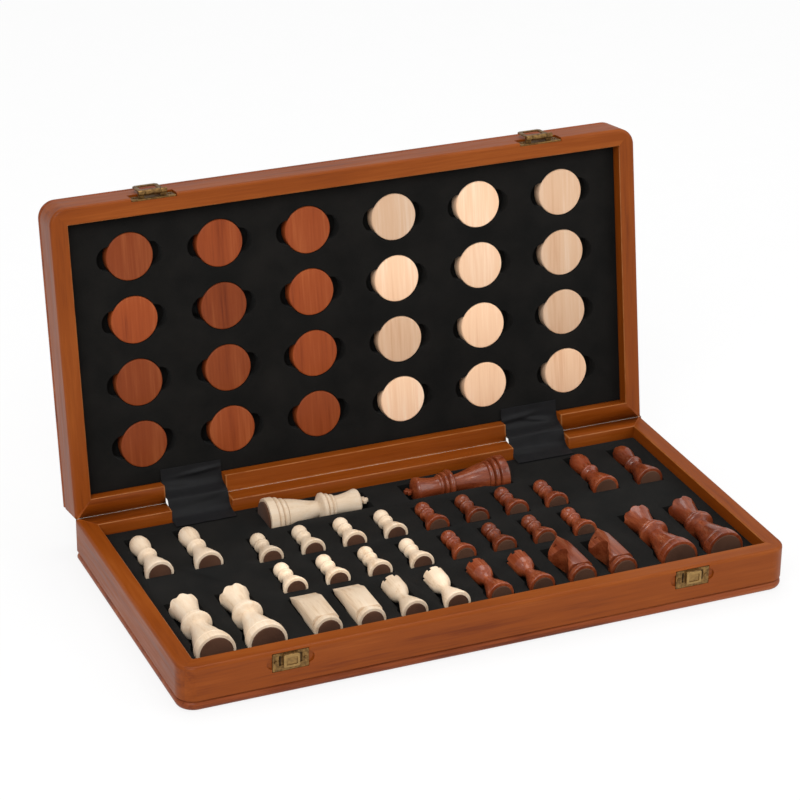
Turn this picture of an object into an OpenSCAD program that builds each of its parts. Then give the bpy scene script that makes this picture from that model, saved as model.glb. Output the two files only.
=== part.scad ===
// Folding games box: two equal trays joined by hinges. Closed it is a case, opened flat its outer
// faces make one board of eight by eight squares. One tray holds the chess men, the other the counters.
// Origin: middle of the underside of the lower tray. +X along the hinge line, -Y towards the latches.

/* [Box] */
// Outer length along the hinge, also the side of the square board
box_len = 390; // [384:1:410]
// Outer height of each half
half_h = 28.5; // [28:0.5:34]
// Thickness of the rails, which is the width of the rim
rail_t = 11; // [9:0.5:12.5]
// Radius along the outer edge of the rim
rim_edge_r = 2; // [1:0.25:2.5]
// Chamfer along the inner edge of the rim
rim_chamfer = 0.6; // [0.3:0.1:1]
// Thickness of the board panel with its rounded edge
panel_t = 6; // [5:0.5:6]
// Height of the groove between the rails and the panel
groove_h = 1; // [0.6:0.1:1.5]
// Depth of the groove between the rails and the panel
groove_d = 1; // [0.6:0.1:1.5]
// Depth of the foam below the rim
recess = 8; // [7.5:0.25:8.25]
// Gap between the two halves, shut or opened flat
fold_gap = 0.3; // [0.2:0.05:0.6]
// How far the lid stands open from shut, in degrees
lid_open = 98.7; // [80:0.1:120]

/* [Board] */
// Plain border round the squares
board_border = 23; // [16:1:27]
// Thickness of the inlaid squares
square_t = 1; // [0.8:0.1:1.5]

/* [Foam] */
// Clearance between the foam and the rails
foam_clear = 0.2; // [0.1:0.05:0.4]
// Clearance round a chess man in its pocket
pocket_clear = 0.4; // [0.3:0.05:0.8]
// Clearance between a lying man and the floor of its pocket
floor_clear = 0.3; // [0.2:0.05:0.5]

/* [Chess men] */
// Height of the king
king_len = 70; // [66:0.5:72]
// Radius of the king's foot
king_r = 12.8; // [12:0.1:13.8]
// Height of a queen
queen_len = 65; // [60:0.5:68]
// Radius of a queen's foot
queen_r = 12.2; // [11.5:0.1:13]
// Height of a bishop
bishop_len = 50; // [46:0.5:52]
// Radius of a bishop's foot
bishop_r = 9; // [8.4:0.1:10.5]
// Height of a knight
knight_len = 43; // [40:0.5:45]
// Radius of a knight's foot
knight_r = 8.9; // [8.4:0.1:10.4]
// Thickness of a knight's head
knight_t = 16.5; // [12:0.5:17]
// Height of a rook
rook_len = 38; // [35:0.5:42]
// Radius of a rook's foot
rook_r = 8.4; // [7.8:0.1:10]
// Height of a pawn
pawn_len = 31; // [26:0.5:34]
// Radius of a pawn's foot
pawn_r = 7.8; // [7.2:0.1:9]
// Thickness of the felt under each foot
felt_t = 1.2; // [0.8:0.1:1.6]
// How much smaller the felt's radius is than the foot's
felt_inset = 2; // [1:0.1:2.4]

/* [Places of the chess men] */
// Middle of the box to the first column of men
column_first = 14; // [12.5:0.25:15]
// Side rail to the outermost column, of a queen and a bishop
outer_side = 19; // [17:0.5:21]
// Pitch of the two outer columns
outer_pitch = 31.5; // [29:0.1:32]
// How much further the outer columns stand off than the four inner ones from each other
outer_extra = 10.3; // [8:0.1:12]
// Front rail to the feet of the front row
front_row = 12; // [10:0.5:14]
// Front rail to the feet of the first pawn row
pawn_row_a = 64.2; // [62:0.2:67]
// How far the second pawn row stands back from the middle of its room before the king
pawn_row_b = 0.7; // [-1:0.1:1.5]
// Back rail to the heads of the bishops
bishop_row = 11.5; // [9:0.5:16]
// Back rail to the edge of the king's foot
king_gap = 4; // [2:0.1:5]
// Middle of the box to the king's foot
king_foot_x = 82.5; // [80:0.5:84]

/* [Counters] */
// Diameter of a counter
counter_d = 30; // [27:0.5:31]
// Thickness of a counter
counter_t = 8; // [6:0.5:9]
// Side rail to the middle of the outermost counters
counter_side = 39; // [34:0.5:44]
// Front and back rail to the middle of the outer rows of counters
counter_end = 26.5; // [25:0.5:30]
// Length of the finger slot across a counter's pocket
slot_len = 42; // [38:0.5:46]
// Width of the finger slot
slot_w = 16; // [12:0.5:20]
// Clearance round a counter
counter_clear = 0.4; // [0.3:0.1:0.8]

/* [Hinges] */
// Middle of the box to the middle of each hinge notch
hinge_x = 116.5; // [110:0.5:122]
// Width of the notch in the back rails
notch_w = 40; // [38:0.5:44]
// Length of the hinge barrel
barrel_len = 35; // [30:0.5:36]
// Outer radius of the hinge barrel
barrel_r = 2.4; // [2.2:0.1:2.8]
// Radius of the hinge pin
pin_r = 1; // [0.8:0.05:1.2]
// Running clearance between a pin and the knuckles that turn on it
pin_clear = 0.05; // [0.02:0.01:0.09]
// Thickness of the hinge leaves
leaf_t = 1.2; // [1:0.1:1.4]
// Length of a leaf below the rim of its half
leaf_len = 20; // [17:0.5:21]
// Gap between neighbouring knuckles
knuckle_gap = 0.3; // [0.2:0.05:0.5]
// Depth of the leaf's outer face below the back face
leaf_back = 0.2; // [0.15:0.05:0.4]
// Clearance round a leaf in its mortise
leaf_clear = 0.2; // [0.1:0.05:0.4]
// Radius of the hinge screws' shank
screw_r = 1.1; // [0.9:0.05:1.3]
// Length of the hinge screws
screw_len = 8; // [6:0.5:9]
// End of the hinge leaf to its outer screw
screw_end = 6.5; // [5:0.5:8]
// Thickness of the cloth cover over each hinge
cover_t = 1.4; // [1:0.1:1.6]
// How far the cloth cover lies on the foam
cover_reach = 8.5; // [6:0.5:9.5]
// Clearance between the cloth cover and the sides of the notch
cover_clear = 0.5; // [0.3:0.1:1]

/* [Latches] */
// Middle of the box to the middle of each latch
latch_x = 129; // [120:0.5:136]
// Width of the catch plate
catch_w = 22; // [20:0.5:25]
// Height of the catch plate
catch_h = 11.5; // [10.5:0.25:12.5]
// Rim to the top of the catch plate
catch_drop = 1.5; // [1:0.1:2]
// Width of the raised catch block
block_w = 10; // [8:0.25:11]
// Height of the raised catch block
block_h = 8; // [6:0.25:9]
// Top of the catch plate to the top of the catch block
block_drop = 0.8; // [0.5:0.1:1.2]
// How far the catch block stands out
block_out = 2.4; // [2:0.1:3]
// Thickness of the latch plates
plate_t = 1; // [0.8:0.1:1.2]
// Width of the mortise in the lid for the hasp plate
mortise_w = 29; // [27:0.5:32]
// Depth of the mortise in the lid
mortise_d = 2.2; // [2:0.1:2.6]
// Height of the hasp plate
hasp_plate_h = 9; // [7.5:0.25:11]
// Clearance round a latch plate in its mortise
plate_clear = 0.3; // [0.1:0.1:0.6]
// Hasp axis from the rim of the lid
hasp_axis_up = 3; // [2.6:0.1:3.6]
// Hasp axis out from the front face
hasp_axis_out = 2; // [1.9:0.05:2.4]
// Radius of the hasp barrel
hasp_barrel_r = 1.6; // [1.4:0.05:1.7]
// Length of the hasp barrel with its two end knuckles
hasp_barrel = 18; // [16:0.5:20]
// Length of the middle knuckle, which is the hasp's own
hasp_knuckle = 10; // [8:0.25:11]
// Radius of the hasp pin
hasp_pin_r = 0.7; // [0.5:0.05:0.8]
// Width of the hasp
hasp_w = 16; // [15:0.5:18]
// Thickness of the hasp
hasp_t = 1; // [0.8:0.1:1.2]
// Clearance round the catch block in the hasp's window
hasp_clear = 0.5; // [0.3:0.05:0.8]
// Length of the hasp below its window
hasp_lip = 2.2; // [1.5:0.1:3]
// How far each hasp is swung back from shut, in degrees
hasp_open = 178; // [150:1:179]
// Radius of the latch nails
nail_r = 0.6; // [0.5:0.05:0.7]
// Length of the latch nails
nail_len = 6; // [5:0.5:7]

/* [Hidden] */
$fn = 48;
half_depth = box_len / 2;
front_y = -half_depth / 2;
back_y = half_depth / 2;
side_x = box_len / 2;
in_front = front_y + rail_t;
in_back = back_y - rail_t;
in_side = side_x - rail_t;
foam_z = half_h - recess;
square = (box_len - 2 * board_border) / 8;
// Cut across the corners of the squares, so that squares of one wood never meet edge to edge
square_nick = 0.15;
axis_y = back_y + fold_gap / 2;
axis_z = half_h + fold_gap / 2;
past = 1;

// Feet and columns of the men; the inner columns share the room up to the outer ones
outer = [in_side - outer_side - outer_pitch, in_side - outer_side];
column_pitch = (outer[0] - outer_extra - column_first) / 4;
column = [for (i = [0:3]) column_first + i * column_pitch];
front_feet = in_front + front_row;
king_y = in_back - king_gap - king_r;
pawn_a = in_front + pawn_row_a;
pawn_feet = [pawn_a, (pawn_a + king_y - king_r) / 2 + pawn_row_b];
bishop_feet = in_back - bishop_row - bishop_len;

// Widths of the men against the drawn ones
king_w = king_r / 12.8;
queen_w = queen_r / 12.2;
bishop_w = bishop_r / 9;
knight_w = knight_r / 8.9;
rook_w = rook_r / 8.4;
pawn_w = pawn_r / 7.8;
// Reach of a knight's muzzle from its axis
muzzle_reach = 8.8 * knight_w;

counter_pitch_x = (in_side - counter_side) / 2.5;
counter_pitch_y = (in_back - counter_end) / 1.5;

// Planes of a hinge leaf in its half
web_out = back_y - leaf_back;
web_in = web_out - leaf_t;
web_top = axis_z - barrel_r - knuckle_gap;
leaf_bottom = half_h - leaf_len;
leaf_mid = (leaf_bottom + foam_z) / 2;
knuckle_pitch = barrel_len / 5;
screw_pitch = barrel_len / 2 - screw_end;
head_r = screw_r * 1.8;
head_h = screw_r * 0.9 / 1.1;
pin_inset = 0.2;

// Planes of a latch, with the lid shut
lid_rim = axis_z + fold_gap / 2;
hasp_z = lid_rim + hasp_axis_up;
hasp_y = front_y - hasp_axis_out;
catch_top = half_h - catch_drop;
catch_mid = catch_top - catch_h / 2;
block_top = catch_top - block_drop;
window_top = block_top + hasp_clear;
window_bottom = block_top - block_h - hasp_clear;
hasp_tip = window_bottom - hasp_lip;
hasp_shoulder = hasp_z - hasp_barrel_r - knuckle_gap;
nail_head_r = 1.1;
nail_head_h = 0.5;
catch_nail_x = catch_w / 2 - 2;
hasp_nail_x = mortise_w / 2 - 3.4;
hasp_nail_z = lid_rim + plate_clear + hasp_plate_h / 2;

wood = [0.56, 0.24, 0.08];
moulding = [0.43, 0.16, 0.06];
maple = [0.86, 0.70, 0.48];
walnut = [0.36, 0.17, 0.08];
black_foam = [0.11, 0.11, 0.11];
black_cloth = [0.08, 0.08, 0.08];
brass = [0.53, 0.43, 0.25];
cream = [0.95, 0.90, 0.80];
red_brown = [0.52, 0.27, 0.18];
counter_brown = [0.48, 0.23, 0.15];
counter_pale = [0.83, 0.66, 0.50];
brown_felt = [0.29, 0.20, 0.15];

// Puts a shape drawn as part of a lower half onto the opened lid
module as_lid() {
    translate([0, axis_y, axis_z]) rotate([-lid_open, 0, 0]) mirror([0, 0, 1])
        translate([0, -axis_y, -axis_z]) children();
}

// Puts a shape drawn where it lies with the lid shut onto the opened lid
module with_lid() {
    translate([0, axis_y, axis_z]) rotate([-lid_open, 0, 0])
        translate([0, -axis_y, -axis_z]) children();
}

// Points along an arc in n steps
function arc(x, y, r, from, to, n) =
    [for (i = [0:n]) let (a = from + (to - from) * i / n) [x + r * cos(a), y + r * sin(a)]];

// Section of a rail: 0 is its inner face, rail_t its outer face
function rail_section(chamfer, inner = 0) =
    concat([[inner, panel_t], [rail_t - groove_d, panel_t],
            [rail_t - groove_d, panel_t + groove_h], [rail_t, panel_t + groove_h]],
           arc(rail_t - rim_edge_r, half_h - rim_edge_r, rim_edge_r, 0, 90, 6),
           chamfer > 0 ? [[chamfer, half_h], [0, half_h - chamfer]] : [[inner, half_h]]);

// Section of the back rail, square on the outside
back_section = [[0, panel_t], [rail_t, panel_t], [rail_t, half_h],
                [rim_chamfer, half_h], [0, half_h - rim_chamfer]];

// Section of the panel's edge, half round on the outside
panel_section = concat([[0, 0]], arc(rail_t - panel_t / 2, panel_t / 2, panel_t / 2, -90, 90, 12),
                       [[0, panel_t]]);

// Straight length of a section that faces +X, from y = 0 to y = -len
module strip(section, len) {
    rotate([90, 0, 0]) linear_extrude(len) polygon(section);
}

// Part of a round corner, swept about the inner corner of the frame
module turn(section, from, angle) {
    rotate([0, 0, from]) rotate_extrude(angle = angle) polygon(section);
}

// Half of a round corner of the frame, from its straight end to the mitre at 45 degrees
module half_corner() {
    core = rail_t / 6;
    intersection() {
        union() {
            turn(rail_section(0, core), 0, 90);
            translate([0, 0, panel_t]) cube([1.3 * core, 1.3 * core, half_h - panel_t]);
        }
        linear_extrude(half_h + past) polygon([[0, 0], [2 * rail_t, 0], [2 * rail_t, 2 * rail_t]]);
    }
}

// Front rail with its round ends, up to the two mitres
module front_rail() {
    translate([in_side, in_front, 0]) rotate([0, 0, -90])
        strip(rail_section(rim_chamfer), 2 * in_side);
    for (s = [0, 1])
        mirror([s, 0, 0])
            translate([in_side, in_front, 0]) rotate([0, 0, -90]) half_corner();
}

// Right rail between its mitres
module right_rail() {
    translate([in_side, in_back, 0]) strip(rail_section(rim_chamfer), in_back - in_front);
    translate([in_side, in_front, 0]) mirror([0, 1, 0]) half_corner();
    intersection() {
        translate([in_side, back_y, 0]) strip(rail_section(0), rail_t);
        linear_extrude(half_h + past)
            polygon([[in_side, in_back], [side_x + past, in_back],
                     [side_x + past, back_y + past]]);
    }
}

// Back rail between its mitres, without its notches
module plain_back_rail() {
    translate([-in_side, in_back, 0]) rotate([0, 0, 90]) strip(back_section, 2 * in_side);
    for (s = [0, 1])
        mirror([s, 0, 0])
            intersection() {
                translate([in_side, back_y, 0]) strip(rail_section(0), rail_t);
                linear_extrude(half_h + past)
                    polygon([[in_side, in_back], [side_x + past, back_y + past],
                             [in_side, back_y + past]]);
            }
}

// Back rail with the two hinge notches, the leaf mortises and the screw holes
module back_rail() {
    difference() {
        plain_back_rail();
        for (s = [-1, 1]) {
            translate([s * hinge_x - notch_w / 2, in_back - past, foam_z])
                cube([notch_w, rail_t + 2 * past, recess + past]);
            translate([s * hinge_x - barrel_len / 2 - leaf_clear, web_in, leaf_bottom - leaf_clear])
                cube([barrel_len + 2 * leaf_clear, rail_t, half_h]);
            for (i = [-1:1])
                translate([s * hinge_x + i * screw_pitch, web_out, leaf_mid])
                    rotate([90, 0, 0]) cylinder(r = screw_r, h = screw_len);
        }
    }
}

// Recess for a latch plate with a round end at each side, cut into the front face
module rounded_mortise(w, h, d) {
    translate([-w / 2 - plate_clear, -past, -h / 2 - plate_clear])
        cube([w + 2 * plate_clear, d + past, h + 2 * plate_clear]);
    for (s = [-1, 1])
        translate([s * (w / 2 - plate_clear), -past, 0])
            rotate([-90, 0, 0]) cylinder(r = h / 3, h = d + past);
}

// Front rail of the base with the mortises and nail holes of the catch plates
module base_front_blank() {
    difference() {
        front_rail();
        for (s = [-1, 1]) {
            translate([s * latch_x, front_y, catch_mid]) rounded_mortise(catch_w, catch_h, plate_t);
            for (i = [-1, 1])
                translate([s * latch_x + i * catch_nail_x, front_y, catch_mid])
                    rotate([-90, 0, 0]) cylinder(r = nail_r, h = nail_len);
        }
    }
}

// Front rail of the lid, drawn as a lower half, with the hasp mortises open at the rim
module lid_front_blank() {
    difference() {
        front_rail();
        for (s = [-1, 1]) {
            translate([s * latch_x - mortise_w / 2, front_y - past,
                       half_h - hasp_plate_h - 2 * plate_clear])
                cube([mortise_w, mortise_d + past, hasp_plate_h + 2 * plate_clear + past]);
            for (i = [-1, 1])
                translate([s * latch_x + i * hasp_nail_x, front_y + mortise_d - plate_t,
                           half_h - (hasp_nail_z - lid_rim)])
                    rotate([-90, 0, 0]) cylinder(r = nail_r, h = nail_len);
        }
    }
}

// Board panel with a rounded edge on three sides and a shallow bed for the squares
module board_panel() {
    difference() {
        union() {
            translate([-in_side, in_front, 0])
                cube([2 * in_side, back_y - in_front, panel_t]);
            translate([in_side, in_front, 0]) rotate([0, 0, -90]) strip(panel_section, 2 * in_side);
            for (s = [0, 1])
                mirror([s, 0, 0]) {
                    translate([in_side, back_y, 0]) strip(panel_section, back_y - in_front);
                    translate([in_side, in_front, 0]) turn(panel_section, -90, 90);
                }
        }
        translate([-4 * square, back_y - 4 * square, -past])
            cube([8 * square, 4 * square + past, square_t + past]);
    }
}

// Every second square of a half; the lid starts on the other wood, so the board runs on
module squares(first) {
    for (i = [0:7])
        for (j = [0:3])
            if ((i + j + first) % 2 == 0)
                translate([(i - 4) * square, back_y - (j + 1) * square, 0])
                    linear_extrude(square_t) nicked_square();
}

module nicked_square() {
    n = square_nick;
    polygon([[n, 0], [square - n, 0], [square, n], [square, square - n],
             [square - n, square], [n, square], [0, square - n], [0, n]]);
}

// Slab of foam that fills a half up to the recess
module foam_slab() {
    translate([-in_side + foam_clear, in_front + foam_clear, panel_t])
        cube([2 * (in_side - foam_clear), in_back - in_front - 2 * foam_clear, foam_z - panel_t]);
}

// Pocket for a man that lies along +Y from its foot: wide at the foot, then as wide as the collar
module man_pocket(foot_r, body_r, len, step) {
    depth = foot_r + floor_clear;
    a = foot_r + pocket_clear;
    b = body_r + pocket_clear;
    translate([0, 0, foam_z - depth]) linear_extrude(depth + past)
        polygon([[-a, -pocket_clear], [a, -pocket_clear], [a, step], [b, step + 2 * (a - b)],
                 [b, len + pocket_clear], [-b, len + pocket_clear],
                 [-b, step + 2 * (a - b)], [-a, step]]);
}

// Places of the men, on the left (-1) or right (1) half of the tray
module at_pawns(s) {
    for (c = column)
        for (y = pawn_feet)
            translate([s * c, y, 0]) children();
}

module at_rooks(s) {
    for (i = [0:1])
        translate([s * column[i], front_feet, 0]) children();
}

module at_knights(s) {
    for (i = [2:3])
        translate([s * column[i], front_feet, 0]) children();
}

module at_queens(s) {
    for (x = outer)
        translate([s * x, front_feet, 0]) children();
}

module at_bishops(s) {
    for (x = outer)
        translate([s * x, bishop_feet, 0]) children();
}

// The king lies along the hinge with its head to the middle
module at_king(s) {
    translate([s * king_foot_x, king_y, 0]) rotate([0, 0, s * 90]) children();
}

// Lays an upright man down, so that its axis runs along +Y at the level of the foam
module lying() {
    translate([0, 0, foam_z]) rotate([-90, 0, 0]) children();
}

// Falling curve of a turned shaft, from the foot to the waist
function fall(r0, z0, r1, z1) =
    [for (i = [0:8]) [r1 + (r0 - r1) * (0.75 - i / 16 + 0.25 * cos(22.5 * i)),
                      z0 + (z1 - z0) * i / 8]];

// Turned foot with softened edges
function foot(r, h) =
    [[0, felt_t], [r - 0.6, felt_t], [r, felt_t + 0.6], [r, felt_t + h - 0.5],
     [r - 0.4, felt_t + h]];

// Rounded ring at height z
function ring(r, z, h) =
    [[r - 0.35 * h, z], [r, z + 0.25 * h], [r, z + 0.75 * h], [r - 0.35 * h, z + h]];

module pawn() {
    k = pawn_len / 31;
    w = pawn_w;
    head = 5 * w;
    rotate_extrude()
        polygon(concat(foot(pawn_r, 2.4 * k),
                       fall(pawn_r - 0.5 * w, felt_t + 2.5 * k, 3.1 * w, 16.6 * k),
                       ring(4.9 * w, 17.8 * k, 2.6 * k),
                       [[3.9 * w, 20.8 * k], [3.9 * w, 22.8 * k], [0, 22.8 * k]]));
    translate([0, 0, pawn_len - head]) sphere(r = head);
}

module rook() {
    k = rook_len / 38;
    w = rook_w;
    difference() {
        rotate_extrude()
            polygon(concat(foot(rook_r, 2.6 * k),
                           fall(rook_r - 0.5 * w, felt_t + 2.7 * k, 3.3 * w, 20 * k),
                           [[4.2 * w, 22.6 * k], [6 * w, 25.6 * k], [6.3 * w, 27 * k],
                            [6.7 * w, 28.2 * k], [6.7 * w, rook_len], [0, rook_len]]));
        translate([0, 0, rook_len - 3.4 * k]) cylinder(r = 4.4 * w, h = 3.4 * k + past);
        for (i = [0:2])
            rotate([0, 0, 60 * i]) translate([-rook_r, -w, rook_len - 2.4 * k])
                cube([2 * rook_r, 2 * w, 2.4 * k + past]);
    }
}

module bishop() {
    k = bishop_len / 50;
    w = bishop_w;
    difference() {
        union() {
            rotate_extrude()
                polygon(concat(foot(bishop_r, 3 * k),
                               fall(bishop_r - 0.5 * w, felt_t + 3.1 * k, 3.9 * w, 22.4 * k),
                               ring(6.2 * w, 23.6 * k, 2.8 * k),
                               [[4.9 * w, 27.4 * k], [4.9 * w, 29.8 * k], [5.6 * w, 33.4 * k],
                                [6.4 * w, 37.4 * k], [6.2 * w, 40.6 * k], [5.2 * w, 44 * k],
                                [3.6 * w, 46.6 * k], [1.8 * w, 48 * k], [0, 48.4 * k]]));
            translate([0, 0, bishop_len - 2.3 * w]) sphere(r = 2.3 * w);
        }
        translate([1.6 * w, -bishop_r, 41 * k]) rotate([0, -35, 0])
            cube([bishop_r, 2 * bishop_r, 1.2 * w]);
    }
}

module queen() {
    k = queen_len / 65;
    w = queen_w;
    difference() {
        rotate_extrude()
            polygon(concat(foot(queen_r, 5.2 * k),
                           ring(queen_r - 0.7 * w, felt_t + 5.6 * k, 3.4 * k),
                           fall(queen_r - 1.9 * w, felt_t + 9.2 * k, 5.5 * w, 32 * k),
                           ring(9.6 * w, 33.4 * k, 3.8 * k),
                           ring(8.3 * w, 37.7 * k, 2.6 * k),
                           [[6.9 * w, 42 * k], [6.6 * w, 45.5 * k], [7 * w, 49 * k],
                            [7.8 * w, 53 * k], [8.8 * w, 57 * k], [9.2 * w, 58.8 * k],
                            [8.2 * w, 59.2 * k], [7 * w, 58.2 * k], [5.4 * w, 60 * k],
                            [2.4 * w, 61.4 * k], [0, 61.6 * k]]));
        for (i = [0:7])
            rotate([0, 0, 45 * i + 22.5]) translate([6.6 * w, 0, 60 * k])
                rotate([0, 90, 0]) cylinder(r = 1.7 * w, h = queen_r);
    }
    translate([0, 0, queen_len - 2.6 * w]) sphere(r = 2.6 * w);
}

module king() {
    k = king_len / 70;
    w = king_w;
    rotate_extrude()
        polygon(concat(foot(king_r, 5.6 * k), ring(king_r - 0.7 * w, felt_t + 6 * k, 3.2 * k),
                       ring(king_r - 1.9 * w, felt_t + 9.6 * k, 3.4 * k),
                       fall(king_r - 2.7 * w, felt_t + 13.3 * k, 5.4 * w, 35.6 * k),
                       ring(9.8 * w, 37.6 * k, 3.4 * k), ring(8.6 * w, 41.5 * k, 2.4 * k),
                       [[6.6 * w, 44.6 * k]], ring(7.6 * w, 45.2 * k, 1.8 * k),
                       [[6.3 * w, 48 * k], [6.4 * w, 52 * k], [7.2 * w, 56.5 * k],
                        [8.2 * w, 60.4 * k], [8.3 * w, 62 * k], [7.2 * w, 63.4 * k],
                        [4.4 * w, 64.5 * k], [2.6 * w, 64.9 * k], [0, 65 * k]]));
    arm = 2.4 * w;
    translate([-arm / 2, -arm / 2, 64 * k]) cube([arm, arm, king_len - 64 * k]);
    translate([-3 * w, -arm / 2, king_len - 4 * k]) cube([6 * w, arm, 2.4 * k]);
}

// Side view of a knight's head, muzzle towards +X
module knight_outline() {
    k = knight_len / 43;
    w = knight_w;
    polygon([[-7.9 * w, 6.4 * k], [-8.1 * w, 12 * k], [-7.7 * w, 19 * k], [-7 * w, 25.5 * k],
             [-5.8 * w, 31.5 * k], [-4 * w, 36.4 * k], [-2.6 * w, 39.6 * k],
             [-1.6 * w, knight_len], [-0.4 * w, 40.2 * k], [1.4 * w, 39 * k],
             [4.2 * w, 37.6 * k], [6.6 * w, 35.8 * k], [8.3 * w, 33.8 * k],
             [muzzle_reach, 32 * k], [muzzle_reach, 30.8 * k], [7.6 * w, 29.8 * k],
             [5.2 * w, 29.4 * k], [2.8 * w, 28.6 * k], [1.1 * w, 26.8 * k], [0.4 * w, 24.2 * k],
             [1.2 * w, 21.4 * k], [2.9 * w, 18.8 * k], [4.2 * w, 16 * k], [5.2 * w, 12.4 * k],
             [6.8 * w, 9.4 * k], [7.9 * w, 6.4 * k]]);
}

module knight() {
    k = knight_len / 43;
    rotate_extrude()
        polygon(concat(foot(knight_r, 3.4 * k),
                       ring(knight_r - 0.9 * knight_w, felt_t + 3.7 * k, 1.6 * k),
                       [[knight_r - 1.8 * knight_w, 7 * k], [0, 7 * k]]));
    intersection() {
        rotate([90, 0, 0]) translate([0, 0, -knight_t / 2])
            linear_extrude(knight_t) knight_outline();
        cylinder(r = 9.6 * knight_w, h = knight_len + past);
    }
}

// Felt disc under a foot
module felt(r) {
    cylinder(r = r - felt_inset, h = felt_t);
}

// Rail, panel, squares and foam of the base
module base_front_rail() { color(wood) base_front_blank(); }
module base_back_rail() { color(wood) back_rail(); }
module base_left_rail() { color(wood) mirror([1, 0, 0]) right_rail(); }
module base_right_rail() { color(wood) right_rail(); }
module base_board_panel() { color(moulding) board_panel(); }
module base_light_squares() { color(maple) squares(0); }
module base_dark_squares() { color(walnut) squares(1); }

module base_foam_tray() {
    color(black_foam)
        difference() {
            foam_slab();
            for (s = [-1, 1]) {
                at_pawns(s) man_pocket(pawn_r, 5.6 * pawn_w, pawn_len, pawn_len * 7 / 31);
                at_rooks(s) man_pocket(rook_r, 7 * rook_w, rook_len, rook_len * 8.4 / 38);
                at_knights(s)
                    man_pocket(max(knight_r, muzzle_reach), muzzle_reach, knight_len,
                               knight_len * 9 / 43);
                at_queens(s) man_pocket(queen_r, 9.6 * queen_w, queen_len, queen_len * 12 / 65);
                at_bishops(s)
                    man_pocket(bishop_r, 6.6 * bishop_w, bishop_len, bishop_len * 8 / 50);
                at_king(s) man_pocket(king_r, 10 * king_w, king_len, king_len * 13 / 70);
            }
        }
}

// The same for the lid
module lid_front_rail() { color(wood) as_lid() lid_front_blank(); }
module lid_back_rail() { color(wood) as_lid() back_rail(); }
module lid_left_rail() { color(wood) as_lid() mirror([1, 0, 0]) right_rail(); }
module lid_right_rail() { color(wood) as_lid() right_rail(); }
module lid_board_panel() { color(moulding) as_lid() board_panel(); }
module lid_light_squares() { color(maple) as_lid() squares(1); }
module lid_dark_squares() { color(walnut) as_lid() squares(0); }

// Four rows of three counters on the left (-1) or right (1) half of the lid
module at_counters(s) {
    for (i = [0:2])
        for (j = [0:3])
            translate([s * (i + 0.5) * counter_pitch_x, (j - 1.5) * counter_pitch_y, 0]) children();
}

module counter_pocket() {
    translate([0, 0, foam_z - counter_t]) {
        cylinder(r = counter_d / 2 + counter_clear, h = counter_t + past);
        translate([-slot_len / 2 + slot_w / 2, -slot_w / 2, 0])
            cube([slot_len - slot_w, slot_w, counter_t + past]);
        for (s = [-1, 1])
            translate([s * (slot_len - slot_w) / 2, 0, 0])
                cylinder(r = slot_w / 2, h = counter_t + past);
    }
}

module lid_foam_tray() {
    color(black_foam) as_lid()
        difference() {
            foam_slab();
            for (s = [-1, 1]) at_counters(s) counter_pocket();
        }
}

module counters(s) {
    at_counters(s) translate([0, 0, foam_z - counter_t]) cylinder(d = counter_d, h = counter_t);
}

module brown_counters() { color(counter_brown) as_lid() counters(-1); }
module natural_counters() { color(counter_pale) as_lid() counters(1); }

// Knuckle cylinder from station a to station b along the barrel
module knuckle(a, b, r) {
    translate([a, axis_y, axis_z]) rotate([0, 90, 0]) cylinder(r = r, h = b - a);
}

// Hinge leaf as part of a lower half; the base has knuckles 0, 2 and 4, the lid 1 and 3
module hinge_leaf(own, bore) {
    x0 = -barrel_len / 2;
    difference() {
        union() {
            translate([x0, web_in, leaf_bottom]) cube([barrel_len, leaf_t, web_top - leaf_bottom]);
            for (i = own) {
                a = x0 + i * knuckle_pitch + (i > 0 ? knuckle_gap / 2 : 0);
                b = x0 + (i + 1) * knuckle_pitch - (i < 4 ? knuckle_gap / 2 : 0);
                knuckle(a, b, barrel_r);
                translate([a, web_in, web_top - past])
                    cube([b - a, leaf_t, axis_z - web_top + past]);
            }
        }
        knuckle(x0 - past, -x0 + past, bore);
        for (i = [-1:1])
            translate([i * screw_pitch, web_out, leaf_mid]) rotate([90, 0, 0]) {
                cylinder(r1 = head_r, r2 = screw_r, h = head_h);
                cylinder(r = screw_r, h = leaf_t + past);
            }
    }
}

module base_leaf() { hinge_leaf([0, 2, 4], pin_r); }
module lid_leaf() { hinge_leaf([1, 3], pin_r + pin_clear); }

module left_hinge_base_leaf() { color(brass) translate([-hinge_x, 0, 0]) base_leaf(); }
module right_hinge_base_leaf() { color(brass) translate([hinge_x, 0, 0]) base_leaf(); }
module left_hinge_lid_leaf() { color(brass) as_lid() translate([-hinge_x, 0, 0]) lid_leaf(); }
module right_hinge_lid_leaf() { color(brass) as_lid() translate([hinge_x, 0, 0]) lid_leaf(); }

module hinge_pins() {
    color(brass)
        for (s = [-1, 1])
            translate([s * hinge_x, 0, 0])
                knuckle(-barrel_len / 2 + pin_inset, barrel_len / 2 - pin_inset, pin_r);
}

// Countersunk screws, three in each leaf
module leaf_screws() {
    for (s = [-1, 1])
        for (i = [-1:1])
            translate([s * hinge_x + i * screw_pitch, web_out, leaf_mid]) rotate([90, 0, 0]) {
                cylinder(r1 = head_r, r2 = screw_r, h = head_h);
                cylinder(r = screw_r, h = screw_len);
            }
}

module hinge_base_screws() { color(brass) leaf_screws(); }
module hinge_lid_screws() { color(brass) as_lid() leaf_screws(); }

// Cloth that lies on the foam and the floor of each notch, up to the hinge leaf
module covers() {
    for (s = [-1, 1])
        translate([s * hinge_x - notch_w / 2 + cover_clear, in_back - cover_reach, foam_z])
            cube([notch_w - 2 * cover_clear, web_in - knuckle_gap - in_back + cover_reach, cover_t]);
}

module hinge_base_covers() { color(black_cloth) covers(); }
module hinge_lid_covers() { color(black_cloth) as_lid() covers(); }

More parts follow.
